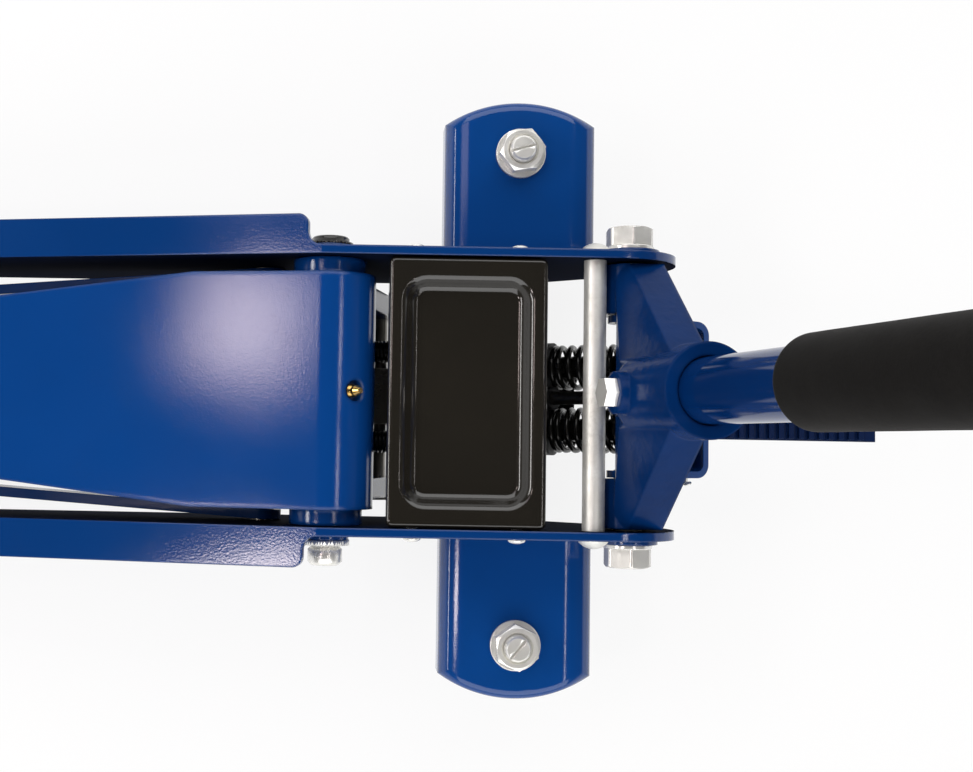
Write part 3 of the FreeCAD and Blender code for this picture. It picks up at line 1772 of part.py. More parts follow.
# Check every object, then write one file for each piece
document.recompute()
faults = []
for item in document.Objects:
    if "Invalid" in item.State or "Error" in item.State:
        faults.append(f"{item.Label}: {item.State}")
for item in pieces:
    shape = item.Shape
    if shape.isNull() or not shape.isValid() or len(shape.Solids) == 0:
        faults.append(f"{item.Label}: bad shape")
if faults:
    raise RuntimeError("; ".join(faults))
for item in pieces:
    item.Shape.exportStep(f"parts/{item.Label}.step")
print(len(pieces), "pieces written")
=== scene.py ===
import math
import bmesh
import bpy
from mathutils import Matrix, Vector, noise


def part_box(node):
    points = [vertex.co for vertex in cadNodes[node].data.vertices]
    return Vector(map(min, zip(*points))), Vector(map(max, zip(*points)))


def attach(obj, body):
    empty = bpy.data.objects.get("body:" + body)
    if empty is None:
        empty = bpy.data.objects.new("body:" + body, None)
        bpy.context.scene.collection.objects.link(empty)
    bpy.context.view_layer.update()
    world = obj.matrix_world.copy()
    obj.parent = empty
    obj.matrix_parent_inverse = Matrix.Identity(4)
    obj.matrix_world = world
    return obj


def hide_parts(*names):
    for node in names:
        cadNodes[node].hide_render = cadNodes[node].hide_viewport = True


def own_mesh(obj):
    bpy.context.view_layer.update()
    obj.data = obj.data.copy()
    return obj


# Floor jack seen from above at its rear half. Metres, front of the jack toward -X.

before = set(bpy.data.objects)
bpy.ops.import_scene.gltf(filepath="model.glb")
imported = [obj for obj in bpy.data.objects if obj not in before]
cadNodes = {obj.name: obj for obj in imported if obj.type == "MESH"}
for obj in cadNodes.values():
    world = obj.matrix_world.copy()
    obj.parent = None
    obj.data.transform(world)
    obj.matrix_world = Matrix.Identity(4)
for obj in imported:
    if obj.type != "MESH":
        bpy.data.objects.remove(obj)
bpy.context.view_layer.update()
bothSides = (("left", 1), ("right", -1))
print("frame loaded, nodes:", len(cadNodes))


def linkObject(name, data):
    item = bpy.data.objects.new(name, data)
    bpy.context.collection.objects.link(item)
    return item


def plainMesh(holder):
    # what the holder's modifiers or curve make, as a mesh of its own; the holder goes
    bpy.context.view_layer.update()
    seen = holder.evaluated_get(bpy.context.evaluated_depsgraph_get())
    made = bpy.data.meshes.new_from_object(seen)
    bpy.data.objects.remove(holder)
    return made


# Camera: straight down over the tray, with the picture slid sideways
cameraSettings = {
    "place": (0.0150, -0.03216, 0.84967), "turn": (0.04906, 0.0, 0.01821),
    "sensor": 36.0, "pictureWide": 973.0, "focalPixels": 1260.0,
    "slide": 0.1375,  # share of the picture's width
    "nearest": 0.02, "farthest": 20.0,
}


def addCamera(settings):
    data = bpy.data.cameras.new("jackCamera")
    data.sensor_width = settings["sensor"]
    data.lens = settings["sensor"] * settings["focalPixels"] / settings["pictureWide"]
    data.shift_x = settings["slide"]
    data.clip_start = settings["nearest"]
    data.clip_end = settings["farthest"]
    camera = linkObject("jackCamera", data)
    camera.location = settings["place"]
    camera.rotation_euler = settings["turn"]
    bpy.context.scene.camera = camera


addCamera(cameraSettings)
bpy.context.scene.view_settings.view_transform = "Standard"
print("camera placed")


# Node helpers shared by all the finishes and node trees
class NodeSheet:
    def __init__(self, tree):
        self.nodes = tree.nodes
        self.links = tree.links
        self.nodes.clear()

    def add(self, kind, settings=None, **inputs):
        node = self.nodes.new(kind)
        for key, value in (settings or {}).items():
            setattr(node, key, value)
        for key, value in inputs.items():
            self.feed(node, key, value)
        return node

    def feed(self, node, key, value):
        # a key such as i2 is the input's number, any other key its name
        numbered = key[0] == "i" and key[1:].isdigit()
        socket = node.inputs[int(key[1:]) if numbered else key]
        if isinstance(value, bpy.types.NodeSocket):
            self.links.new(value, socket)
        else:
            socket.default_value = value

    def join(self, source, target):
        self.links.new(source, target)

    def maths(self, operation, first, second=0.0, clamp=False):
        node = self.add("ShaderNodeMath", {"operation": operation, "use_clamp": clamp}, i0=first, i1=second)
        return node.outputs[0]

    def more(self, first, second, clamp=False):
        return self.maths("ADD", first, second, clamp)

    def less(self, first, second):
        return self.maths("SUBTRACT", first, second)

    def times(self, first, second, clamp=False):
        return self.maths("MULTIPLY", first, second, clamp)

    def smaller(self, first, second):
        return self.maths("MINIMUM", first, second)

    def larger(self, first, second):
        return self.maths("MAXIMUM", first, second)

    def mapRange(self, value, band, low=0.0, high=1.0, eased=False):
        node = self.nodes.new("ShaderNodeMapRange")
        if eased:
            node.interpolation_type = "SMOOTHSTEP"
        for index, item in enumerate((value, *band, low, high)):
            self.feed(node, "i" + str(index), item)
        return node.outputs[0]

    def axisOf(self, vector, axis):
        return self.add("ShaderNodeSeparateXYZ", Vector=vector).outputs[axis]

    def blendColours(self, factor, first, second):
        node = self.add("ShaderNodeMix", {"data_type": "RGBA"}, i0=factor, i6=first, i7=second)
        return node.outputs[2]

    def noise(self, place, scale, detail=3.0, roughness=0.5):
        node = self.add("ShaderNodeTexNoise", Vector=place, Scale=scale, Detail=detail, Roughness=roughness)
        return node.outputs["Fac"]

    def bump(self, height, distance, normal):
        node = self.add("ShaderNodeBump", Height=height, Distance=distance, Strength=1.0, Normal=normal)
        return node.outputs[0]


def colour(red, green, blue):
    return (red, green, blue, 1.0)


# One recipe for every hard finish: two tones, a dirt tone, edge wear, grain and lumps.
# A band is the part of a value's range that runs from none to all.
finishDefaults = {
    "toneScale": 14.0, "dirtScale": 38.0, "speckRatio": 9.0, "dirtRough": 0.2,
    "edgeRadius": 0.0009, "metallic": 0.0, "roughLow": 0.25, "roughHigh": 0.4, "roughScale": 30.0,
    "grainScale": 900.0, "grainHeight": 0.00002, "lumpScale": 120.0, "lumpHeight": 0.00003,
    "coat": 0.0, "coatRoughness": 0.1, "sheen": 0.0, "sheenRoughness": 0.5, "specular": 0.5,
    "evenBand": (0.35, 0.65), "patchBand": (0.48, 0.75), "speckBand": (0.45, 0.62), "speckLow": 0.25,
    "brokenBand": (0.40, 0.60), "edgeBand": (0.995, 0.90),
    "innerShadeTone": None,  # painted shade: a darker tone on faces that look in toward the middle, which are also made matt
    "innerBand": (-0.6, -0.9), "innerRough": 0.8, "innerSpecular": 0.02,
    "fold": None,  # middle, half width, reach and slope of the long edges of a plate that is folded along Y
}


def makeFinish(name, changes):
    look = {**finishDefaults, **changes}
    tones = {key: colour(*look[key]) for key in ("tone", "otherTone", "dirt", "wear")}
    material = bpy.data.materials.new(name)
    material.use_nodes = True
    sheet = NodeSheet(material.node_tree)
    place = sheet.add("ShaderNodeTexCoord").outputs["Object"]
    # tones that drift over the surface
    drift = sheet.noise(place, look["toneScale"], 4.0, 0.55)
    tone = sheet.blendColours(sheet.mapRange(drift, look["evenBand"]), tones["tone"], tones["otherTone"])
    specks = sheet.noise(place, look["dirtScale"] * look["speckRatio"], 6.0, 0.65)
    patches = sheet.noise(place, look["dirtScale"], 5.0, 0.6)
    dirt = sheet.times(sheet.mapRange(patches, look["patchBand"]),
                       sheet.mapRange(specks, look["speckBand"], look["speckLow"]))
    dirt = sheet.times(dirt, look["dirtAmount"], clamp=True)
    tone = sheet.blendColours(dirt, tone, tones["dirt"])
    # worn edges: where the softened normal leaves the true one
    softened = sheet.add("ShaderNodeBevel", {"samples": 6}, Radius=look["edgeRadius"]).outputs[0]
    trueNormal = sheet.add("ShaderNodeNewGeometry").outputs["Normal"]
    turned = sheet.add("ShaderNodeVectorMath", {"operation": "DOT_PRODUCT"}, i0=softened, i1=trueNormal)
    edge = sheet.mapRange(turned.outputs["Value"], look["edgeBand"])
    broken = sheet.mapRange(specks, look["brokenBand"])
    edge = sheet.times(edge, sheet.times(broken, look["wearAmount"]), clamp=True)
    tone = sheet.blendColours(edge, tone, tones["wear"])
    # gloss that is uneven, and duller where it is dirty
    rough = sheet.mapRange(sheet.noise(place, look["roughScale"], 5.0, 0.6), look["evenBand"],
                           look["roughLow"], look["roughHigh"])
    rough = sheet.more(rough, sheet.times(dirt, look["dirtRough"]), clamp=True)
    shader = sheet.add("ShaderNodeBsdfPrincipled", Metallic=look["metallic"])
    sheet.feed(shader, "Specular IOR Level", look["specular"])
    # painted shade: faces that look in toward the middle get the dark inner tone, and are made rough with
    # little gloss
    if look["innerShadeTone"]:
        side = sheet.maths("SIGN", sheet.axisOf(place, "Y"))
        inside = sheet.mapRange(sheet.times(side, sheet.axisOf(trueNormal, "Y")), look["innerBand"])
        tone = sheet.blendColours(inside, tone, colour(*look["innerShadeTone"]))
        rough = sheet.more(rough, sheet.times(inside, look["innerRough"]), clamp=True)
        glint = sheet.mapRange(inside, (0.0, 1.0), look["specular"], look["innerSpecular"])
        sheet.feed(shader, "Specular IOR Level", glint)
    normal = softened
    if look["fold"]:
        middle, half, reach, slope = look["fold"]
        away = sheet.maths("ABSOLUTE", sheet.less(sheet.axisOf(place, "X"), middle))
        near = sheet.mapRange(away, (half - reach, half))
        normal = sheet.bump(sheet.less(1.0, sheet.times(near, near)), reach * slope / 2, normal)
    # grain over slow lumps
    lumps = sheet.bump(sheet.noise(place, look["lumpScale"], 2.0, 0.5), look["lumpHeight"], normal)
    grain = sheet.bump(sheet.noise(place, look["grainScale"], 3.0, 0.6), look["grainHeight"], lumps)
    sheet.join(tone, shader.inputs["Base Color"])
    sheet.join(rough, shader.inputs["Roughness"])
    sheet.join(grain, shader.inputs["Normal"])
    for label, key in (("Coat Weight", "coat"), ("Coat Roughness", "coatRoughness"),
                       ("Sheen Weight", "sheen"), ("Sheen Roughness", "sheenRoughness")):
        shader.inputs[label].default_value = look[key]
    if look["coat"] > 0:
        sheet.join(lumps, shader.inputs["Coat Normal"])
    output = sheet.add("ShaderNodeOutputMaterial")
    sheet.join(shader.outputs[0], output.inputs["Surface"])
    return material


# What the sprayed blue pieces share
sprayed = {
    "toneScale": 7.0, "dirt": (0.004, 0.03, 0.12), "dirtAmount": 0.12, "wear": (0.02, 0.08, 0.28),
    "wearAmount": 0.05, "roughLow": 0.08, "roughHigh": 0.10, "grainScale": 1500.0, "grainHeight": 0.000004,
}
looks = {
    "bluePaint": dict(
        sprayed, tone=(0.0014, 0.040, 0.190), otherTone=(0.0018, 0.044, 0.205), wearAmount=0.08,
        roughLow=0.07, lumpScale=900.0, lumpHeight=0.000025, edgeRadius=0.0014),
    "wingPaint": dict(
        sprayed, tone=(0.0020, 0.046, 0.208), otherTone=(0.0024, 0.050, 0.225), roughLow=0.09,
        roughHigh=0.12, lumpScale=900.0, edgeRadius=0.0004, fold=(0.1135, 0.0455, 0.018, 0.75)),
    "armPaint": dict(
        sprayed, tone=(0.0014, 0.042, 0.198), otherTone=(0.0018, 0.046, 0.214), specular=0.6,
        lumpScale=1100.0, lumpHeight=0.000034, edgeRadius=0.0035),
    # the side plates' inner faces get painted shade through innerShadeTone
    "platePaint": dict(
        sprayed, tone=(0.0012, 0.032, 0.150), otherTone=(0.0015, 0.036, 0.165), specular=0.6,
        lumpScale=800.0, edgeRadius=0.0016, innerShadeTone=(0.0008, 0.004, 0.018)),
    # painted shade: the handle's blue is the paint at about half brightness, standing in for the weaker light
    # on the tube
    "tubeShadedPaint": dict(
        sprayed, tone=(0.0008, 0.019, 0.095), otherTone=(0.0010, 0.022, 0.105), dirt=(0.004, 0.02, 0.08),
        dirtAmount=0.10, specular=0.35, grainHeight=0.000003, lumpScale=300.0, lumpHeight=0.00001,
        edgeRadius=0.0010),
    "padPaint": dict(
        tone=(0.0006, 0.008, 0.042), otherTone=(0.0010, 0.011, 0.056), dirt=(0.004, 0.008, 0.02),
        dirtAmount=0.35, wear=(0.03, 0.07, 0.20), wearAmount=0.25, roughLow=0.30, specular=0.10,
        lumpScale=220.0, lumpHeight=0.00005),
    "blueCasting": dict(
        tone=(0.0008, 0.019, 0.092), otherTone=(0.0012, 0.026, 0.124), toneScale=16.0,
        dirt=(0.003, 0.010, 0.04), dirtAmount=0.3, wear=(0.01, 0.05, 0.20), wearAmount=0.12,
        roughLow=0.16, roughHigh=0.24, specular=0.08, grainScale=800.0, lumpScale=170.0,
        lumpHeight=0.00022, edgeRadius=0.0022),
    "darkBluePaint": dict(
        tone=(0.0018, 0.036, 0.165), otherTone=(0.002, 0.042, 0.190), dirt=(0.003, 0.008, 0.03),
        dirtAmount=0.3, wear=(0.04, 0.10, 0.28), wearAmount=0.25, roughLow=0.18, roughHigh=0.26,
        specular=0.25, lumpScale=220.0, lumpHeight=0.00005),
    "zinc": dict(
        tone=(0.90, 0.89, 0.86), otherTone=(0.84, 0.83, 0.78), toneScale=40.0, dirt=(0.30, 0.27, 0.21),
        dirtAmount=0.12, wear=(0.9, 0.9, 0.88), wearAmount=0.2, metallic=0.55, roughLow=0.18,
        roughHigh=0.26, roughScale=90.0, grainScale=1400.0, grainHeight=0.000006, lumpScale=300.0,
        lumpHeight=0.000006, edgeRadius=0.0003),
    "satinZinc": dict(
        tone=(0.80, 0.80, 0.77), otherTone=(0.70, 0.69, 0.65), toneScale=60.0, dirt=(0.20, 0.18, 0.14),
        dirtAmount=0.35, wear=(0.85, 0.85, 0.84), wearAmount=0.5, metallic=0.75, roughLow=0.40,
        roughHigh=0.55, roughScale=160.0, grainScale=1100.0, lumpScale=420.0, lumpHeight=0.00002,
        edgeRadius=0.0006),
    "oiledSteel": dict(
        tone=(0.22, 0.21, 0.19), otherTone=(0.15, 0.14, 0.12), toneScale=30.0, dirt=(0.03, 0.022, 0.012),
        dirtAmount=0.6, wear=(0.5, 0.5, 0.48), wearAmount=0.5, metallic=1.0, roughLow=0.22,
        roughScale=60.0, coat=0.25, edgeRadius=0.0006),
    "castUnit": dict(
        tone=(0.006, 0.006, 0.007), otherTone=(0.010, 0.010, 0.011), toneScale=24.0,
        dirt=(0.02, 0.016, 0.012), dirtAmount=0.5, wear=(0.05, 0.05, 0.05), wearAmount=0.4,
        roughLow=0.35, roughHigh=0.55, specular=0.2, grainScale=700.0, grainHeight=0.00006,
        lumpScale=170.0, lumpHeight=0.0003, edgeRadius=0.0018),
    "trayCoat": dict(
        tone=(0.0125, 0.0110, 0.0085), otherTone=(0.0150, 0.0130, 0.0098), toneScale=10.0,
        dirt=(0.03, 0.026, 0.02), dirtAmount=0.08, wear=(0.05, 0.044, 0.034), wearAmount=0.0,
        roughLow=0.10, roughHigh=0.14, coat=0.4, coatRoughness=0.04, grainScale=1800.0,
        grainHeight=0.000004, lumpScale=90.0, lumpHeight=0.00004, edgeRadius=0.0008),
    "brass": dict(
        tone=(0.62, 0.40, 0.13), otherTone=(0.50, 0.31, 0.10), toneScale=120.0, dirt=(0.10, 0.05, 0.02),
        dirtAmount=0.5, wear=(0.85, 0.65, 0.3), wearAmount=0.6, metallic=1.0, roughLow=0.18,
        roughHigh=0.34, edgeRadius=0.0003),
    "rubber": dict(
        tone=(0.016, 0.015, 0.014), otherTone=(0.022, 0.021, 0.020), toneScale=30.0,
        dirt=(0.06, 0.055, 0.045), dirtAmount=0.35, wear=(0.07, 0.066, 0.06), wearAmount=0.4,
        roughLow=0.62, roughHigh=0.8, grainScale=1200.0, grainHeight=0.00008, lumpScale=300.0,
        lumpHeight=0.0001, specular=0.4),
    "foam": dict(
        tone=(0.0040, 0.0037, 0.0032), otherTone=(0.0055, 0.0051, 0.0044), toneScale=26.0,
        dirt=(0.02, 0.018, 0.016), dirtAmount=0.12, wear=(0.04, 0.037, 0.034), wearAmount=0.3,
        roughLow=0.8, roughHigh=0.95, grainScale=1600.0, grainHeight=0.00008, lumpScale=500.0,
        lumpHeight=0.00006, specular=0.1, sheen=0.06, sheenRoughness=0.4, edgeRadius=0.0016),
    "blackSteel": dict(
        tone=(0.012, 0.012, 0.011), otherTone=(0.020, 0.019, 0.017), toneScale=50.0,
        dirt=(0.05, 0.035, 0.02), dirtAmount=0.3, wear=(0.25, 0.24, 0.22), wearAmount=0.4,
        metallic=0.5, roughLow=0.16, roughHigh=0.30, coat=0.4, edgeRadius=0.0006),
    "wheelIron": dict(
        tone=(0.17, 0.17, 0.165), otherTone=(0.22, 0.215, 0.205), toneScale=30.0, dirt=(0.05, 0.04, 0.03),
        dirtAmount=0.5, wear=(0.5, 0.5, 0.48), wearAmount=0.5, metallic=0.9, roughLow=0.34,
        roughHigh=0.55, lumpScale=200.0, lumpHeight=0.0001),
}
finishes = {name: makeFinish(name, look) for name, look in looks.items()}
nodeFinish = {
    "bluePaint": "caster_fork_left caster_fork_right",
    "wingPaint": "caster_wing_left caster_wing_right",
    "armPaint": "lift_arm",
    "platePaint": "side_plate_left side_plate_right",
    # the handle tube and its upper part get the darker blue of painted shade
    "tubeShadedPaint": "handle_tube handle_upper",
    "padPaint": "pedal_pad",
    "blueCasting": "handle_yoke",
    "darkBluePaint": "pedal_bracket saddle_bracket radius_rod_left radius_rod_right",
    "satinZinc": "tie_rod front_tie_rod",
    "oiledSteel": "ram crosshead lever_pin tip_pin rod_pin rod_anchor_left rod_anchor_right "
                  "valve_stem yoke_roller pedal_roller saddle",
    "blackSteel": "plunger_left plunger_right",
    "wheelIron": "front_wheel_left front_wheel_right caster_wheel_left caster_wheel_right",
    "castUnit": "power_unit",
    "brass": "grease_nipple",
}


def dressNodes():
    # zinc for every node that the list leaves out
    chosen = {name: finish for finish, names in nodeFinish.items() for name in names.split()}
    for name, item in cadNodes.items():
        for slot in item.material_slots:
            slot.material = finishes[chosen.get(name, "zinc")]


dressNodes()
print("finishes made:", len(finishes))


# Shared by the pieces: what a piece is made of, what it rides on and what it stands for
def settlePiece(name, mesh, finish, body, nodes=(), sharpAngle=0.7):
    mesh.materials.clear()
    mesh.materials.append(finishes[finish])
    mesh.shade_smooth()
    mesh.set_sharp_from_angle(angle=sharpAngle)
    piece = linkObject(name, mesh)
    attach(piece, body)
    if nodes:
        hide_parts(*nodes)
    return piece


def meshFromShape(name, shape, matrix=None):
    if matrix is not None:
        shape.transform(matrix)
    bmesh.ops.remove_doubles(shape, verts=shape.verts, dist=0.000002)
    bmesh.ops.recalc_face_normals(shape, faces=shape.faces)
    mesh = bpy.data.meshes.new(name)
    shape.to_mesh(mesh)
    shape.free()
    return mesh


def ringPoint(radius, angle, height):
    return (radius * math.cos(angle), radius * math.sin(angle), height)


def quarterArc(radius, height, reach, start, steps):
    # (radius, height) pairs on a quarter of a circle round the first two values
    angles = [start + math.pi / 2 * step / steps for step in range(steps + 1)]
    return [(radius + reach * math.cos(angle), height + reach * math.sin(angle)) for angle in angles]


def turnProfile(profile, segments):
    # profile of (radius, height) pairs from one end to the other, turned about Z
    shape = bmesh.new()
    rings = []
    for radius, height in profile:
        if radius <= 1e-7:
            rings.append([shape.verts.new((0, 0, height))])
            continue
        rings.append([shape.verts.new(ringPoint(radius, 2 * math.pi * index / segments, height))
                      for index in range(segments)])
    for low, high in zip(rings, rings[1:]):
        if len(low) == 1 and len(high) == 1:
            continue
        for index in range(segments):
            after = (index + 1) % segments
            if len(low) == 1:
                shape.faces.new((low[0], high[index], high[after]))
            elif len(high) == 1:
                shape.faces.new((low[index], low[after], high[0]))
            else:
                shape.faces.new((low[index], low[after], high[after], high[index]))
    return shape


hexValues = {"turned": 0.965, "slope": 30, "segments": 72, "sinkWide": 0.0013, "sinkDeep": 0.0016}


def hexBlock(acrossFlats, base, top, lowChamfer=False, bore=0.0):
    # hexagon turned down to a circle at its ends, as nuts and bolt heads are
    shape = bmesh.new()
    flat = acrossFlats / 2
    turnedRadius = flat * hexValues["turned"]
    slope = math.tan(math.radians(hexValues["slope"]))
    segments = hexValues["segments"]
    columns = []
    for index in range(segments):
        angle = 2 * math.pi * index / segments
        inside = (angle + math.pi / 6) % (math.pi / 3) - math.pi / 6
        reach = flat / math.cos(inside)
        drop = (reach - turnedRadius) * slope
        line = [(turnedRadius, base), (reach, base + drop)] if lowChamfer else [(reach, base)]
        line += [(reach, top - drop), (turnedRadius, top)]
        if bore:
            line += [(bore + hexValues["sinkWide"], top), (bore, top - hexValues["sinkDeep"]), (bore, base)]
        columns.append([shape.verts.new(ringPoint(radius, angle, height)) for radius, height in line])
    if not bore:
        middle = shape.verts.new((0, 0, top))
        under = shape.verts.new((0, 0, base))
    for here, after in zip(columns, columns[1:] + columns[:1]):
        for step in range(len(here) - 1):
            shape.faces.new((here[step], after[step], after[step + 1], here[step + 1]))
        if bore:
            shape.faces.new((here[-1], after[-1], after[0], here[0]))
        else:
            shape.faces.new((here[-1], after[-1], middle))
            shape.faces.new((after[0], here[0], under))
    return shape


def alongAxis(origin, direction):
    # matrix that stands local Z on a line
    turn = Vector(direction).to_track_quat("Z", "Y").to_matrix().to_4x4()
    return Matrix.Translation(Vector(origin)) @ turn


def copyOfNode(node, cutPoint, cutNormal):
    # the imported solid's own mesh, merged, with what lies beyond the cut taken off
    shape = bmesh.new()
    shape.from_mesh(cadNodes[node].data)
    bmesh.ops.remove_doubles(shape, verts=shape.verts, dist=0.000005)
    everything = list(shape.verts) + list(shape.edges) + list(shape.faces)
    cut = bmesh.ops.bisect_plane(shape, geom=everything, plane_co=cutPoint, plane_no=cutNormal,
                                 clear_outer=True, dist=1e-7)
    rim = [item for item in cut["geom_cut"] if isinstance(item, bmesh.types.BMEdge)]
    if rim:
        bmesh.ops.contextual_create(shape, geom=rim)
    return shape


def addTo(shape, other, matrix):
    # other is moved by the matrix, added to shape, and freed
    other.transform(matrix)
    mesh = bpy.data.meshes.new("joining")
    other.to_mesh(mesh)
    other.free()
    shape.from_mesh(mesh)
    bpy.data.meshes.remove(mesh)


# Geometry Nodes helpers: a tree with named inputs, run once and turned into a plain mesh
def newTree(name, **inputs):
    # inputs: a kind of socket with the labels of that kind, parted by commas
    tree = bpy.data.node_groups.new(name, "GeometryNodeTree")
    for way in ("INPUT", "OUTPUT"):
        tree.interface.new_socket("Geometry", in_out=way, socket_type="NodeSocketGeometry")
    for kind, labels in inputs.items():
        for label in labels.split(", "):
            tree.interface.new_socket(label, in_out="INPUT", socket_type="NodeSocket" + kind)
    sheet = NodeSheet(tree)
    return tree, sheet, sheet.add("NodeGroupInput").outputs


def endTree(sheet, geometry, given):
    real = sheet.add("GeometryNodeRealizeInstances", Geometry=geometry)
    painted = sheet.add("GeometryNodeSetMaterial", Geometry=real.outputs[0])
    sheet.join(given["Finish"], painted.inputs["Material"])
    leaving = sheet.add("NodeGroupOutput")
    sheet.join(painted.outputs[0], leaving.inputs[0])


def runTree(name, tree, values, seedMesh=None, thickness=0.0):
    holder = linkObject(name + "Holder", seedMesh or bpy.data.meshes.new(name + "Seed"))
    modifier = holder.modifiers.new("shape", "NODES")
    modifier.node_group = tree
    identifiers = {item.name: item.identifier for item in tree.interface.items_tree
                   if item.item_type == "SOCKET" and item.in_out == "INPUT"}
    for label, value in values.items():
        modifier[identifiers[label]] = value
    if thickness:
        wall = holder.modifiers.new("wall", "SOLIDIFY")
        wall.thickness = thickness
        wall.offset = -1.0
        wall.use_even_offset = True
    made = plainMesh(holder)
    made.name = name
    return made


# Parts tray: one pressed sheet with a dished floor and a skirt all round
trayValues = {
    "middleX": 0.0785, "lengthX": 0.089, "halfWidth": 0.0758, "top": 0.148, "depth": 0.020,
    "sheet": 0.0022, "corner": 0.0034, "bend": 0.0020,
    "dishMarginX": 0.0090, "dishMarginY": 0.0120, "dishCorner": 0.0125, "dishDepth": 0.0070,
    "lipOut": 0.0022, "wallIn": 0.0072, "columns": 97, "rows": 161,
}


def trayTree():
    tree, sheet, given = newTree(
        "trayPress", Int="Columns, Rows", Vector="Centre", Material="Finish",
        Float="Half Length, Half Width, Corner, Bend, Depth, Dish Half Length, Dish Half Width, "
              "Dish Corner, Dish Depth, Lip, Wall")
    more, less, times, smaller, larger = sheet.more, sheet.less, sheet.times, sheet.smaller, sheet.larger
    # flat blank: the top out to the corner rounds, then the bend and the skirt laid flat
    corner, bend = given["Corner"], given["Bend"]
    flatEdge = less(corner, bend)
    quarter = times(bend, math.pi / 2)
    apron = more(more(flatEdge, quarter), less(given["Depth"], bend))
    cores = [less(given[label], corner) for label in ("Half Length", "Half Width")]
    blank = sheet.add("GeometryNodeMeshGrid", **{
        "Size X": times(more(cores[0], apron), 2.0), "Size Y": times(more(cores[1], apron), 2.0),
        "Vertices X": given["Columns"], "Vertices Y": given["Rows"],
    })
    spot = sheet.add("ShaderNodeSeparateXYZ", i0=sheet.add("GeometryNodeInputPosition").outputs[0]).outputs
    signs = [sheet.maths("SIGN", spot[axis]) for axis in (0, 1)]
    reaches = [sheet.maths("ABSOLUTE", spot[axis]) for axis in (0, 1)]
    past = [larger(less(reach, core), 0.0) for reach, core in zip(reaches, cores)]
    step = larger(*past)
    length = larger(sheet.maths("SQRT", more(times(past[0], past[0]), times(past[1], past[1]))), 1e-9)
    # the fold: out along the top, round the bend, down the skirt
    turnAngle = sheet.maths("DIVIDE", smaller(larger(less(step, flatEdge), 0.0), quarter), bend)
    outward = more(smaller(step, flatEdge), times(bend, sheet.maths("SINE", turnAngle)))
    below = more(times(bend, less(1.0, sheet.maths("COSINE", turnAngle))),
                 larger(less(step, more(flatEdge, quarter)), 0.0))
    share = sheet.maths("DIVIDE", outward, length)
    bent = [times(sign, more(smaller(reach, core), times(over, share)))
            for sign, reach, core, over in zip(signs, reaches, cores, past)]
    # the dish: a smooth step down inside a rounded outline
    away = [less(reach, less(given[label], given["Dish Corner"]))
            for reach, label in zip(reaches, ("Dish Half Length", "Dish Half Width"))]
    farX, farY = (larger(item, 0.0) for item in away)
    far = sheet.maths("SQRT", more(times(farX, farX), times(farY, farY)))
    near = smaller(larger(*away), 0.0)
    distance = less(more(far, near), given["Dish Corner"])
    dish = sheet.mapRange(distance, (given["Lip"], times(given["Wall"], -1.0)), eased=True)
    height = times(more(below, times(dish, given["Dish Depth"])), -1.0)
    target = sheet.add("ShaderNodeCombineXYZ", i0=bent[0], i1=bent[1], i2=height)
    pressed = sheet.add("GeometryNodeSetPosition", Geometry=blank.outputs["Mesh"], Position=target.outputs[0])
    moved = sheet.add("GeometryNodeTransform", Geometry=pressed.outputs[0], Translation=given["Centre"])
    endTree(sheet, moved.outputs[0], given)
    return tree


def makeTray(values):
    halfLength = values["lengthX"] / 2
    mesh = runTree("trayPan", trayTree(), {
        "Half Length": halfLength, "Half Width": values["halfWidth"], "Corner": values["corner"],
        "Bend": values["bend"], "Depth": values["depth"],
        "Dish Half Length": halfLength - values["dishMarginX"],
        "Dish Half Width": values["halfWidth"] - values["dishMarginY"],
        "Dish Corner": values["dishCorner"], "Dish Depth": values["dishDepth"],
        "Lip": values["lipOut"], "Wall": values["wallIn"],
        "Columns": values["columns"], "Rows": values["rows"],
        "Centre": (values["middleX"], 0.0, values["top"]), "Finish": finishes["trayCoat"],
    }, thickness=values["sheet"])
    settlePiece("trayPan", mesh, "trayCoat", "chassis", ["tray"], 0.9)


makeTray(trayValues)
print("tray pressed")

# Coil springs: two pull the arm back, two push the pump plungers out
springValues = {
    "returnSprings": {"radius": 0.0070, "wire": 0.0011, "start": 0.0186, "end": 0.0836, "sides": 0.028,
                      "height": 0.066, "turns": 27.0},
    "pumpSprings": {"radius": 0.0140, "wire": 0.0018, "start": -0.0547, "ends": (-0.0052, -0.0076),
                    "sides": 0.019, "middle": (0.18535, 0.1036), "axis": (0.8660254, 0.0, 0.5),
                    "turns": 8.0, "keeps": (0.578, 0.768)},
    "pointsPerTurn": 36, "roundWire": 10,
}


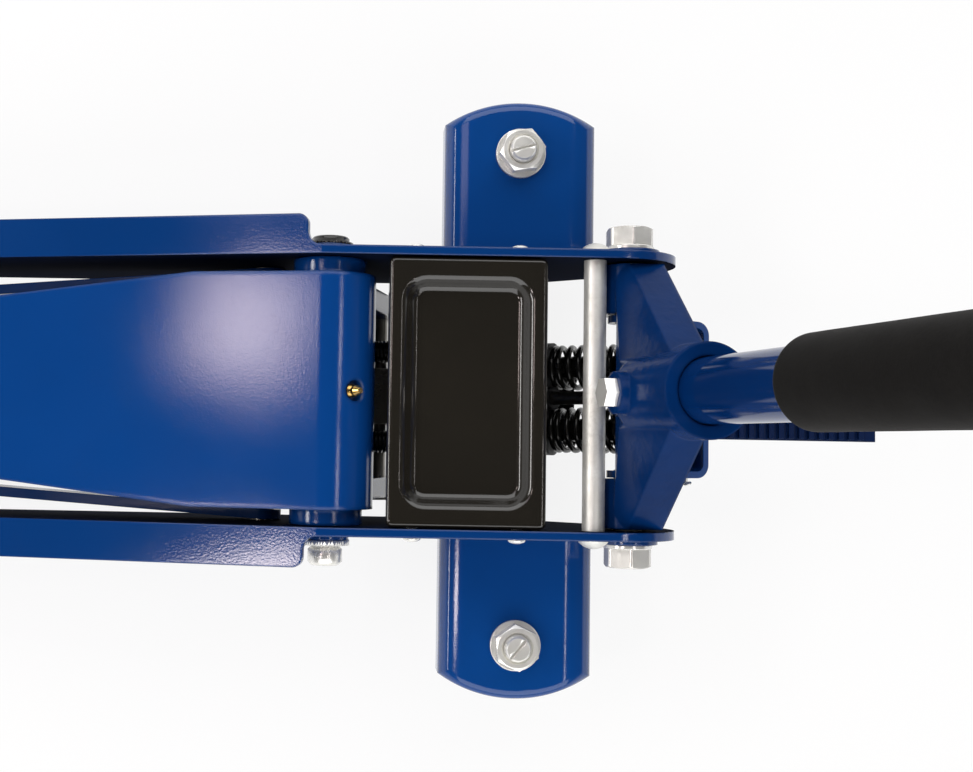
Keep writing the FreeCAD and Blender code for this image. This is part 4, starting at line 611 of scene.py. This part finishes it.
def coilTree():
    tree, sheet, given = newTree("coilSpring", Float="Radius, Wire, Length, Turns", Int="Points, Wire Sides",
                                 Material="Finish")
    more, less, times, smaller, larger = sheet.more, sheet.less, sheet.times, sheet.smaller, sheet.larger
    line = sheet.add("GeometryNodeCurvePrimitiveLine")
    steps = sheet.add("GeometryNodeResampleCurve", Curve=line.outputs[0], Count=given["Points"])
    along = sheet.add("GeometryNodeSplineParameter").outputs["Factor"]
    turned = times(along, given["Turns"])
    angle = times(turned, 2 * math.pi)
    # closed end turns: one wire thickness a turn, the rest evenly open
    wireWide = times(given["Wire"], 2.0)
    firstTurn = smaller(turned, 1.0)
    lastTurn = larger(less(turned, less(given["Turns"], 1.0)), 0.0)
    middleTurns = less(given["Turns"], 2.0)
    opened = larger(sheet.maths("DIVIDE", smaller(less(turned, 1.0), middleTurns), middleTurns), 0.0)
    openLength = less(given["Length"], times(wireWide, 3.0))
    height = more(times(wireWide, more(firstTurn, lastTurn)), times(opened, openLength))
    spot = sheet.add("ShaderNodeCombineXYZ", i0=times(given["Radius"], sheet.maths("COSINE", angle)),
                     i1=times(given["Radius"], sheet.maths("SINE", angle)), i2=more(height, given["Wire"]))
    coil = sheet.add("GeometryNodeSetPosition", Geometry=steps.outputs[0], Position=spot.outputs[0])
    ring = sheet.add("GeometryNodeCurvePrimitiveCircle", Radius=given["Wire"], Resolution=given["Wire Sides"])
    wire = sheet.add("GeometryNodeCurveToMesh", Curve=coil.outputs[0])
    sheet.join(ring.outputs[0], wire.inputs["Profile Curve"])
    wire.inputs["Fill Caps"].default_value = True
    endTree(sheet, wire.outputs[0], given)
    return tree


def makeSprings(values):
    tree = coilTree()

    def coil(name, spring, end, origin, direction, node):
        mesh = runTree(name, tree, {
            "Radius": spring["radius"] - spring["wire"], "Wire": spring["wire"],
            "Length": end - spring["start"], "Turns": spring["turns"],
            "Points": int(spring["turns"] * values["pointsPerTurn"]) + 1,
            "Wire Sides": values["roundWire"], "Finish": finishes["blackSteel"],
        })
        mesh.transform(alongAxis(origin, direction))
        return settlePiece(name, mesh, "blackSteel", "chassis", [node], 1.2)

    back = values["returnSprings"]
    for side, sign in bothSides:
        coil("returnSpring" + side.capitalize(), back, back["end"],
             (back["start"], sign * back["sides"], back["height"]), (1, 0, 0), "return_spring_" + side)
    pump = values["pumpSprings"]
    axis = Vector(pump["axis"])
    for (side, sign), end, keep in zip(bothSides, pump["ends"], pump["keeps"]):
        origin = Vector((pump["middle"][0], sign * pump["sides"], pump["middle"][1])) + axis * pump["start"]
        piece = coil("pumpSpring" + side.capitalize(), pump, end, origin, axis, "pump_spring_" + side)
        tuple(pump["axis"])
        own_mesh(piece)


makeSprings(springValues)
print("springs wound")

# Handle coverings: foam sleeve, rubber grip
handleValues = {
    "origin": (0.173, 0.0, 0.125), "axis": (0.233445, 0.0, 0.97237),
    "foam": {"start": 0.182, "end": 0.542, "inner": 0.0174, "outer": 0.0219, "round": 0.0030,
             "lip": 0.0004, "lipRise": 0.0006, "arcSteps": 8, "rings": 150, "segments": 96,
             "wave": 0.00025, "waves": ((28.0, 0.7), (90.0, 0.3)), "bore": 0.001},
    "grip": {"start": 1.033, "end": 1.167, "inner": 0.0174, "outer": 0.0189, "ribs": 22, "ribDepth": 0.0006,
             "firstRib": 0.006, "plain": 0.016, "segments": 72,
             "startRound": (0.0010, 0.0012), "endRound": ((0.0, 0.004), (0.0008, 0.0018), (0.003, 0.0004))},
}


def settleOnHandle(name, shape, values, start, finish, node, sharpAngle):
    origin = Vector(values["origin"]) + Vector(values["axis"]) * start
    mesh = meshFromShape(name, shape, alongAxis(origin, values["axis"]))
    return settlePiece(name, mesh, finish, "handle", [node], sharpAngle)


def makeFoam(values):
    foam = values["foam"]
    length = foam["end"] - foam["start"]
    rounding, steps = foam["round"], foam["arcSteps"]
    edge = foam["outer"] - rounding
    profile = [(foam["inner"], length * 0.5), (foam["inner"], rounding),
               (foam["inner"] + foam["lip"], foam["lipRise"])]
    profile += quarterArc(edge, rounding, rounding, -math.pi / 2, steps)
    for step in range(1, foam["rings"]):
        profile.append((foam["outer"], rounding + (length - 2 * rounding) * step / foam["rings"]))
    profile += quarterArc(edge, length - rounding, rounding, 0.0, steps)
    profile += [(foam["inner"] + foam["lip"], length - foam["lipRise"]), (foam["inner"], length - rounding),
                (foam["inner"], length * 0.5)]
    shape = turnProfile(profile, foam["segments"])
    for vert in shape.verts:
        flat = Vector((vert.co.x, vert.co.y, 0))
        if flat.length > foam["inner"] + foam["bore"]:
            swell = sum(noise.noise(vert.co * scale) * share for scale, share in foam["waves"])
            vert.co -= flat.normalized() * foam["wave"] * (0.5 + 0.5 * swell)
    piece = settleOnHandle("foamSleeve", shape, values, foam["start"], "foam", "foam_sleeve", 1.0)


def makeGrip(values):
    grip = values["grip"]
    length = grip["end"] - grip["start"]
    inset, rise = grip["startRound"]
    profile = [(grip["inner"], 0.0), (grip["outer"] - inset, 0.0), (grip["outer"], rise)]
    pitch = (length - grip["plain"]) / grip["ribs"]
    low = grip["outer"] - grip["ribDepth"]
    for rib in range(grip["ribs"]):
        start = grip["firstRib"] + rib * pitch
        profile += [(grip["outer"], start), (low, start + pitch * 0.15), (low, start + pitch * 0.45),
                    (grip["outer"], start + pitch * 0.6)]
    profile += [(grip["outer"] - inset, length - short) for inset, short in grip["endRound"]]
    profile.append((0.0, length))
    shape = turnProfile(profile, grip["segments"])
    bmesh.ops.holes_fill(shape, edges=[edge for edge in shape.edges if edge.is_boundary])
    settleOnHandle("handleGrip", shape, values, grip["start"], "rubber", "handle_grip", 0.6)


makeFoam(handleValues)
makeGrip(handleValues)
print("handle covered")


def carve(mesh, cutter):
    # cutter is taken out of mesh; both are plain meshes
    block, knife = linkObject("carved", mesh), linkObject("carver", cutter)
    tool = block.modifiers.new("cut", "BOOLEAN")
    tool.operation = "DIFFERENCE"
    tool.solver = "EXACT"
    tool.object = knife
    made = plainMesh(block)
    bpy.data.objects.remove(knife)
    return made


def boxMesh(name, low, high, matrix):
    shape = bmesh.new()
    middle = Matrix.Translation((Vector(low) + Vector(high)) / 2)
    lengths = Matrix.Diagonal((*(Vector(high) - Vector(low)), 1.0))
    bmesh.ops.create_cube(shape, size=1.0, matrix=middle @ lengths)
    return meshFromShape(name, shape, matrix)


# Screws and beads: one shape set at many places by Geometry Nodes
def scatterTree():
    tree, sheet, given = newTree("setPieces", Object="Shape", Float="Size Spread", Int="Seed",
                                 Material="Finish")
    turn = sheet.add("GeometryNodeInputNamedAttribute", {"data_type": "FLOAT_VECTOR"}, Name="turn")
    angles = sheet.add("FunctionNodeEulerToRotation", i0=turn.outputs[0])
    source = sheet.add("GeometryNodeObjectInfo", Object=given["Shape"])
    spread = sheet.add("FunctionNodeRandomValue", {"data_type": "FLOAT"}, Seed=given["Seed"])
    ends = [socket for socket in spread.inputs if socket.type == "VALUE" and socket.name in ("Min", "Max")]
    sheet.join(sheet.less(1.0, given["Size Spread"]), ends[0])
    sheet.join(sheet.more(1.0, given["Size Spread"]), ends[1])
    number = [socket for socket in spread.outputs if socket.type == "VALUE"][0]
    placed = sheet.add("GeometryNodeInstanceOnPoints", Points=given["Geometry"], Rotation=angles.outputs[0],
                       Instance=source.outputs["Geometry"], Scale=number)
    endTree(sheet, placed.outputs[0], given)
    return tree


setTree = scatterTree()


def setShapes(name, source, places, finish, nodes=(), spread=0.0, seed=3, sharpAngle=0.7):
    # places: (point, direction of the shape's Z, spin about it)
    points = bpy.data.meshes.new(name + "Points")
    points.from_pydata([tuple(point) for point, _, _ in places], [], [])
    turns = points.attributes.new("turn", "FLOAT_VECTOR", "POINT")
    for index, (_, direction, spin) in enumerate(places):
        turn = Vector(direction).to_track_quat("Z", "Y").to_matrix() @ Matrix.Rotation(spin, 3, "Z")
        turns.data[index].vector = turn.to_euler()
    holder = linkObject(name + "Shape", source)
    mesh = runTree(name, setTree, {
        "Shape": holder, "Size Spread": spread, "Seed": seed, "Finish": finishes[finish],
    }, points)
    bpy.data.objects.remove(holder)
    settlePiece(name, mesh, finish, "chassis", nodes, sharpAngle)


# Hardware: washers, hexagon nuts and heads, studs with a slotted end
hardwareValues = {
    "flats": 0.024,
    "stud": {"x": 0.1135, "y": 0.14755, "washerLow": 0.09402, "washer": 0.0150, "thick": 0.0025,
             "nut": 0.0100, "play": 0.0001, "radius": 0.0080, "rise": 0.0045, "pitch": 0.0015,
             "threadDeep": 0.45, "threadStart": 0.0008, "threadStop": 0.0018,
             "tip": ((0.93, 0.0011), (0.80, 0.0)), "segments": 64, "slot": 0.0015, "slotDeep": 0.0016,
             "cutPast": 0.002,
             "turns": {"left": -0.38, "right": 0.10}, "slotTurns": {"left": 0.28, "right": 0.9}},
    "yokeBolt": {"x": 0.173, "z": 0.125, "start": 0.08405, "hole": 0.0080, "washer": 0.0140, "thick": 0.0025,
                 "head": 0.0110},
    "screw": {"head": 0.0050, "rise": 0.0030, "rim": 0.35, "shank": 0.0030, "length": 0.0117, "point": 0.0008,
              "pointShare": 0.8, "arcSteps": 6, "segments": 32, "cross": 0.0009, "crossLong": 0.0028,
              "crossLow": 0.45, "firstTurn": 0.4, "turnStep": 0.7},
}


def washerShape(inner, outer, low, thick):
    edge = thick * 0.18
    return turnProfile([(inner, low), (outer - edge, low), (outer, low + edge), (outer, low + thick - edge),
                        (outer - edge, low + thick), (inner, low + thick), (inner, low)], 72)


def studEnd(stud, low, high, slotTurn):
    # threaded end with a chamfer and a screwdriver slot
    radius, pitch = stud["radius"], stud["pitch"]
    profile = [(0.0, low), (radius, low)]
    height = low + stud["threadStart"]
    while height < high - stud["threadStop"]:
        profile += [(radius, height), (radius - pitch * stud["threadDeep"], height + pitch * 0.5)]
        height += pitch
    profile += [(radius * share, high - short) for share, short in stud["tip"]] + [(0.0, high)]
    plain = meshFromShape("studEnd", turnProfile(profile, stud["segments"]))
    reach, half = radius * 1.2, stud["slot"] / 2
    cutter = boxMesh("slotCutter", (-reach, -half, high - stud["slotDeep"]),
                     (reach, half, high + stud["cutPast"]), Matrix.Rotation(slotTurn, 4, "Z"))
    return carve(plain, cutter)


def makeStuds(values):
    stud = values["stud"]
    low = stud["washerLow"]
    nutLow = low + stud["thick"]
    nutTop = nutLow + stud["nut"]
    for side, sign in bothSides:
        node, name = "caster_stud_" + side, "casterStud" + side.capitalize()
        whole = copyOfNode(node, (0, 0, low), (0, 0, 1))
        across = Matrix.Translation((stud["x"], sign * stud["y"], 0.0))
        addTo(whole, washerShape(stud["radius"], stud["washer"], low, stud["thick"]), across)
        nut = hexBlock(values["flats"], nutLow, nutTop, True, stud["radius"] + stud["play"])
        addTo(whole, nut, across @ Matrix.Rotation(stud["turns"][side], 4, "Z"))
        end = studEnd(stud, nutLow, nutTop + stud["rise"], stud["slotTurns"][side])
        end.transform(across)
        whole.from_mesh(end)
        settlePiece(name, meshFromShape(name, whole), "zinc", "chassis", [node], 0.5)


def makeYokeBolts(values):
    bolt = values["yokeBolt"]
    for side, sign in bothSides:
        node, name = "yoke_bolt_" + side, "yokeBolt" + side.capitalize()
        whole = copyOfNode(node, (0, sign * bolt["start"], 0), (0, sign, 0))
        stand = alongAxis((bolt["x"], sign * bolt["start"], bolt["z"]), (0, sign, 0))
        addTo(whole, washerShape(bolt["hole"], bolt["washer"], 0.0, bolt["thick"]), stand)
        addTo(whole, hexBlock(values["flats"], bolt["thick"], bolt["thick"] + bolt["head"]), stand)
        settlePiece(name, meshFromShape(name, whole), "zinc", "chassis", [node], 0.5)


def makeTrayScrews(values):
    screw = values["screw"]
    head, rise, rim, shank = (screw[key] for key in ("head", "rise", "rim", "shank"))
    end, steps = -screw["length"], screw["arcSteps"]
    profile = [(0.0, end), (shank * screw["pointShare"], end), (shank, end + screw["point"]), (shank, 0.0),
               (head, 0.0), (head, rise * rim)]
    for step in range(1, steps + 1):
        angle = math.pi / 2 * step / steps
        profile.append((head * math.cos(angle) if step < steps else 0.0,
                        rise * (rim + (1.0 - rim) * math.sin(angle))))
    source = meshFromShape("panScrew", turnProfile(profile, screw["segments"]))
    reach, half = screw["crossLong"], screw["cross"] / 2
    for turn in (0.0, math.pi / 2):
        arm = boxMesh("crossCutter", (-reach, -half, rise * screw["crossLow"]), (reach, half, rise * 1.5),
                      Matrix.Rotation(turn, 4, "Z"))
        source = carve(source, arm)
    nodes, places = [], []
    for side, sign in bothSides:
        for number in (1, 2):
            node = f"tray_screw_{side}_{number}"
            low, high = (Vector(corner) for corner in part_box(node))
            middle = (low + high) / 2
            face = (high.y if sign > 0 else -low.y) - rise
            spin = screw["firstTurn"] + len(nodes) * screw["turnStep"]
            places.append(((middle.x, sign * face, middle.z), (0, sign, 0), spin))
            nodes.append(node)
    setShapes("trayScrews", source, places, "zinc", nodes)


makeStuds(hardwareValues)
makeYokeBolts(hardwareValues)
makeTrayScrews(hardwareValues)
print("hardware fitted")

# Pivot shaft: black at the end with the plain nut, zinc at the end with the cap nut
shaftEnds = (("pivotShaftLeft", -1, "blackSteel"), ("pivotShaftRight", 1, "zinc"))
for shaftName, shaftSign, shaftFinish in shaftEnds:
    halfShaft = meshFromShape(shaftName, copyOfNode("pivot_shaft", (0, 0, 0), (0, shaftSign, 0)))
    settlePiece(shaftName, halfShaft, shaftFinish, "chassis", ["pivot_shaft"], 0.5)

# Rubber pad of the saddle: rings and crossing grooves moulded in its top
padValues = {
    "rings": (0.012, 0.021, 0.030), "grooveWide": 0.0016, "grooveDeep": 0.0018, "grooveSlope": 1.5,
    "spokes": 8, "edge": 0.002, "arcSteps": 5, "rows": 110, "segments": 192,
}


def makeSaddlePad(values):
    low, high = (Vector(corner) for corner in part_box("saddle_pad"))
    middle = (low + high) / 2
    radius = (high.x - low.x) / 2
    top, edge, rows, slope = high.z, values["edge"], values["rows"], values["grooveSlope"]
    profile = [(0.0, low.z), (radius, low.z), (radius, top - edge)]
    profile += quarterArc(radius - edge, top - edge, edge, 0.0, values["arcSteps"])[1:]
    profile += [((radius - edge) * (1 - row / rows), top) for row in range(1, rows)] + [(0.0, top)]
    shape = turnProfile(profile, values["segments"])
    step = 2 * math.pi / values["spokes"]
    for vert in shape.verts:
        reach = math.hypot(vert.co.x, vert.co.y)
        if vert.co.z < top - 1e-6 or reach < 1e-6:
            continue
        away = min(abs(reach - ring) for ring in values["rings"])
        offAngle = (math.atan2(vert.co.y, vert.co.x) + step / 2) % step - step / 2
        if reach > values["rings"][0]:
            away = min(away, abs(math.sin(offAngle)) * reach)
        share = min(max(slope - away / values["grooveWide"] * slope, 0.0), 1.0)
        vert.co.z -= values["grooveDeep"] * share * share * (3 - 2 * share)
    mesh = meshFromShape("saddlePadRubber", shape, Matrix.Translation((middle.x, middle.y, 0.0)))
    piece = settlePiece("saddlePadRubber", mesh, "rubber", "saddle", ["saddle_pad"])


makeSaddlePad(padValues)

# Pedal: closing sheet between the cheeks, and a split pin through the end of its pin
pedalValues = {
    "sheetLine": [(0.2035, 0.0885), (0.2175, 0.0745), (0.2228, 0.0795)], "thick": 0.0025, "half": 0.0422,
    "pinEnd": (0.215, -0.0500, 0.082), "pinTilt": 0.5, "pinTurn": 0.35, "pinHole": 0.0040, "wire": 0.0007,
    "leg": 0.0065, "eye": 0.0017, "eyeSteps": 8, "eyeSweep": math.pi * 1.5, "eyeShare": 0.62, "eyeGap": 0.05,
    "legGaps": (0.0007, 0.0016, 0.0038), "bendDrop": 0.0012,
}


def makeClosingSheet(values):
    shape = bmesh.new()
    line = [Vector((x, 0, z)) for x, z in values["sheetLine"]]
    half = values["half"]
    rows = []
    for index, point in enumerate(line):
        along = (line[min(index + 1, len(line) - 1)] - line[max(index - 1, 0)]).normalized()
        up = Vector((-along.z, 0, along.x)) * values["thick"] / 2
        corners = ((up, half), (up, -half), (-up, -half), (-up, half))
        rows.append([shape.verts.new(point + offset + Vector((0, side, 0))) for offset, side in corners])
    for low, high in zip(rows, rows[1:]):
        for index in range(4):
            after = (index + 1) % 4
            shape.faces.new((low[index], low[after], high[after], high[index]))
    shape.faces.new(rows[0])
    shape.faces.new(list(reversed(rows[-1])))
    settlePiece("pedalClosingSheet", meshFromShape("pedalClosingSheet", shape), "bluePaint", "pedal")


def makeSplitPin(values):
    # an eye on top, two legs through the pin and spread below
    eye, leg, hole = values["eye"], values["leg"], values["pinHole"]
    inPin, below, spread = values["legGaps"]
    halves = []
    for side in (-1, 1):
        half = []
        for step in range(values["eyeSteps"] + 1):
            angle = values["eyeSweep"] * step / values["eyeSteps"] * values["eyeShare"] + values["eyeGap"]
            half.append((side * eye * math.sin(angle), hole + eye + eye * math.cos(angle)))
        half += [(side * inPin, hole * 0.4), (side * inPin, -hole),
                 (side * below, -hole - values["bendDrop"]), (side * spread, -hole - leg * 0.45)]
        halves.append(half)
    route = halves[0][::-1] + halves[1]
    curve = bpy.data.curves.new("splitPin", "CURVE")
    curve.dimensions = "3D"
    curve.bevel_depth = values["wire"]
    curve.bevel_resolution = 3
    curve.use_fill_caps = True
    spline = curve.splines.new("POLY")
    spline.points.add(len(route) - 1)
    for point, (across, height) in zip(spline.points, route):
        point.co = (across, 0.0, height, 1.0)
    mesh = plainMesh(linkObject("splitPinCurve", curve))
    mesh.transform(Matrix.Translation(values["pinEnd"]) @ Matrix.Rotation(values["pinTilt"], 4, "Y")
                   @ Matrix.Rotation(values["pinTurn"], 4, "Z"))
    settlePiece("splitPin", mesh, "zinc", "pedal", (), 1.2)


makeClosingSheet(pedalValues)
makeSplitPin(pedalValues)
print("saddle pad and pedal details made")

# Weld beads where the wings meet the side plates
weldValues = {
    "bead": 0.0024, "beadShape": (0.75, 1.0, 0.8, 1.0), "pitch": 0.0021, "startX": 0.0725, "endX": 0.1545,
    "outer": 0.0816, "top": 0.0938, "standOff": 0.0006, "lift": 0.0003, "lean": (0.25, 0, 1),
    "wander": 0.0003, "wanderScale": 160.0, "sideSeed": 3.0, "twist": 0.2, "twistStep": 1.7, "spread": 0.16,
}


def makeWelds(values):
    shape = bmesh.new()
    bmesh.ops.create_icosphere(shape, subdivisions=2, radius=values["bead"],
                               matrix=Matrix.Diagonal(values["beadShape"]))
    bead = meshFromShape("weldBead", shape)
    count = int((values["endX"] - values["startX"]) / values["pitch"])
    places = []
    for side, sign in bothSides:
        for index in range(count + 1):
            x = values["startX"] + index * values["pitch"]
            seedSpot = Vector((x * values["wanderScale"], sign * values["sideSeed"], 0.0))
            wander = noise.noise(seedSpot) * values["wander"]
            y = sign * (values["outer"] + values["standOff"] + wander)
            twist = values["twist"] * math.sin(index * values["twistStep"])
            places.append(((x, y, values["top"] + values["lift"]), values["lean"], twist))
    setShapes("wingWelds", bead, places, "bluePaint", (), values["spread"], 7, 1.2)


makeWelds(weldValues)
print("welds laid")

# Studio: white floor, low pale wall, dark ceiling, five lamps for the sheens, two large ones at the sides
studioSettings = {
    "floorSize": 60.0, "floorWhite": 0.90, "cloudWhite": 0.98, "cloudScale": 3.0,
    "shadowShare": 0.16,  # how much of the floor's own light and shadow shows
    "wall": 0.84, "wallBand": (0.16, 0.26), "horizon": 0.12, "zenith": 0.03, "skyBand": (0.15, 0.80),
    "lamps": {
        "sheenBox": {"place": (-0.75, 0.195, 1.60), "aim": (-0.1, 0.03, 0.15), "size": (0.22, 0.20),
                     "power": 1.45, "tint": (1.0, 0.82, 0.78)},
        "flangeBox": {"place": (-0.83, -0.32, 1.60), "aim": (-0.1, -0.05, 0.15), "size": (0.14, 0.26),
                      "power": 2.4, "tint": (1.0, 0.88, 0.86)},
        "lineBox": {"place": (0.76, -0.20, 1.60), "aim": (0.0, -0.05, 0.15), "size": (1.0, 0.05),
                    "power": 2.0, "tint": (1.0, 0.94, 0.92)},
        "frontBox": {"place": (0.15, -1.60, 1.40), "aim": (0.0, 0.0, 0.1), "size": (3.0, 1.8),
                     "power": 39.0, "tint": (1.0, 1.0, 1.0)},
        "backBox": {"place": (0.15, 1.60, 1.50), "aim": (0.0, 0.0, 0.1), "size": (3.0, 1.8),
                    "power": 39.0, "tint": (1.0, 1.0, 1.0)},
        "leftLine": {"place": (-1.50, 0.10, 1.10), "aim": (0.0, 0.0, 0.1), "size": (1.2, 0.24),
                     "power": 11.0, "tint": (1.0, 0.97, 0.95)},
        "stripBox": {"place": (-0.62, 0.56, 1.60), "aim": (-0.62, 0.56, 0.0), "size": (0.6, 0.26),
                     "power": 1.0, "tint": (1.0, 0.84, 0.92)},
    },
}


def addFloor(settings):
    half = settings["floorSize"] / 2
    corners = [(-half, -half, 0), (half, -half, 0), (half, half, 0), (-half, half, 0)]
    mesh = bpy.data.meshes.new("studioFloor")
    mesh.from_pydata(corners, [], [(0, 1, 2, 3)])
    floor = linkObject("studioFloor", mesh)
    material = bpy.data.materials.new("floorWhite")
    material.use_nodes = True
    sheet = NodeSheet(material.node_tree)
    white = settings["floorWhite"]
    grey = white * settings["cloudWhite"]
    place = sheet.add("ShaderNodeTexCoord").outputs["Object"]
    cloud = sheet.blendColours(sheet.noise(place, settings["cloudScale"]), colour(white, white, white),
                               colour(grey, grey, grey))
    matt = sheet.add("ShaderNodeBsdfDiffuse", Color=cloud)
    glow = sheet.add("ShaderNodeEmission", Color=colour(1, 1, 1), Strength=1.0)
    # white to the camera, and as white in metal and glass
    path = sheet.add("ShaderNodeLightPath").outputs
    mirrored = sheet.more(path["Is Glossy Ray"], path["Is Transmission Ray"], clamp=True)
    seen = sheet.more(path["Is Camera Ray"], mirrored, clamp=True)
    share = sheet.times(seen, 1.0 - settings["shadowShare"])
    mixed = sheet.add("ShaderNodeMixShader", i0=share, i1=matt.outputs[0], i2=glow.outputs[0])
    output = sheet.add("ShaderNodeOutputMaterial")
    sheet.join(mixed.outputs[0], output.inputs["Surface"])
    mesh.materials.append(material)


def addSky(settings):
    # the wall is pale in every ray, so it also lights the object a little from low down
    world = bpy.data.worlds.new("studioWorld")
    world.use_nodes = True
    bpy.context.scene.world = world
    sky = NodeSheet(world.node_tree)
    height = sky.axisOf(sky.add("ShaderNodeTexCoord").outputs["Generated"], "Z")
    ceiling = sky.mapRange(height, settings["skyBand"], settings["horizon"], settings["zenith"], eased=True)
    wall = sky.mapRange(height, settings["wallBand"], settings["wall"], 0.0, eased=True)
    backdrop = sky.add("ShaderNodeBackground", Color=colour(1, 1, 1), Strength=sky.larger(ceiling, wall))
    output = sky.add("ShaderNodeOutputWorld")
    sky.join(backdrop.outputs[0], output.inputs["Surface"])


def addLamps(lamps):
    for name, lamp in lamps.items():
        data = bpy.data.lights.new(name, "AREA")
        data.shape = "RECTANGLE"
        data.size, data.size_y = lamp["size"]
        data.energy = lamp["power"]
        data.color = lamp["tint"]
        item = linkObject(name, data)
        item.location = lamp["place"]
        toward = Vector(lamp["aim"]) - Vector(lamp["place"])
        item.rotation_euler = toward.to_track_quat("-Z", "Y").to_euler()


addFloor(studioSettings)
addSky(studioSettings)
addLamps(studioSettings["lamps"])
print("studio lit")
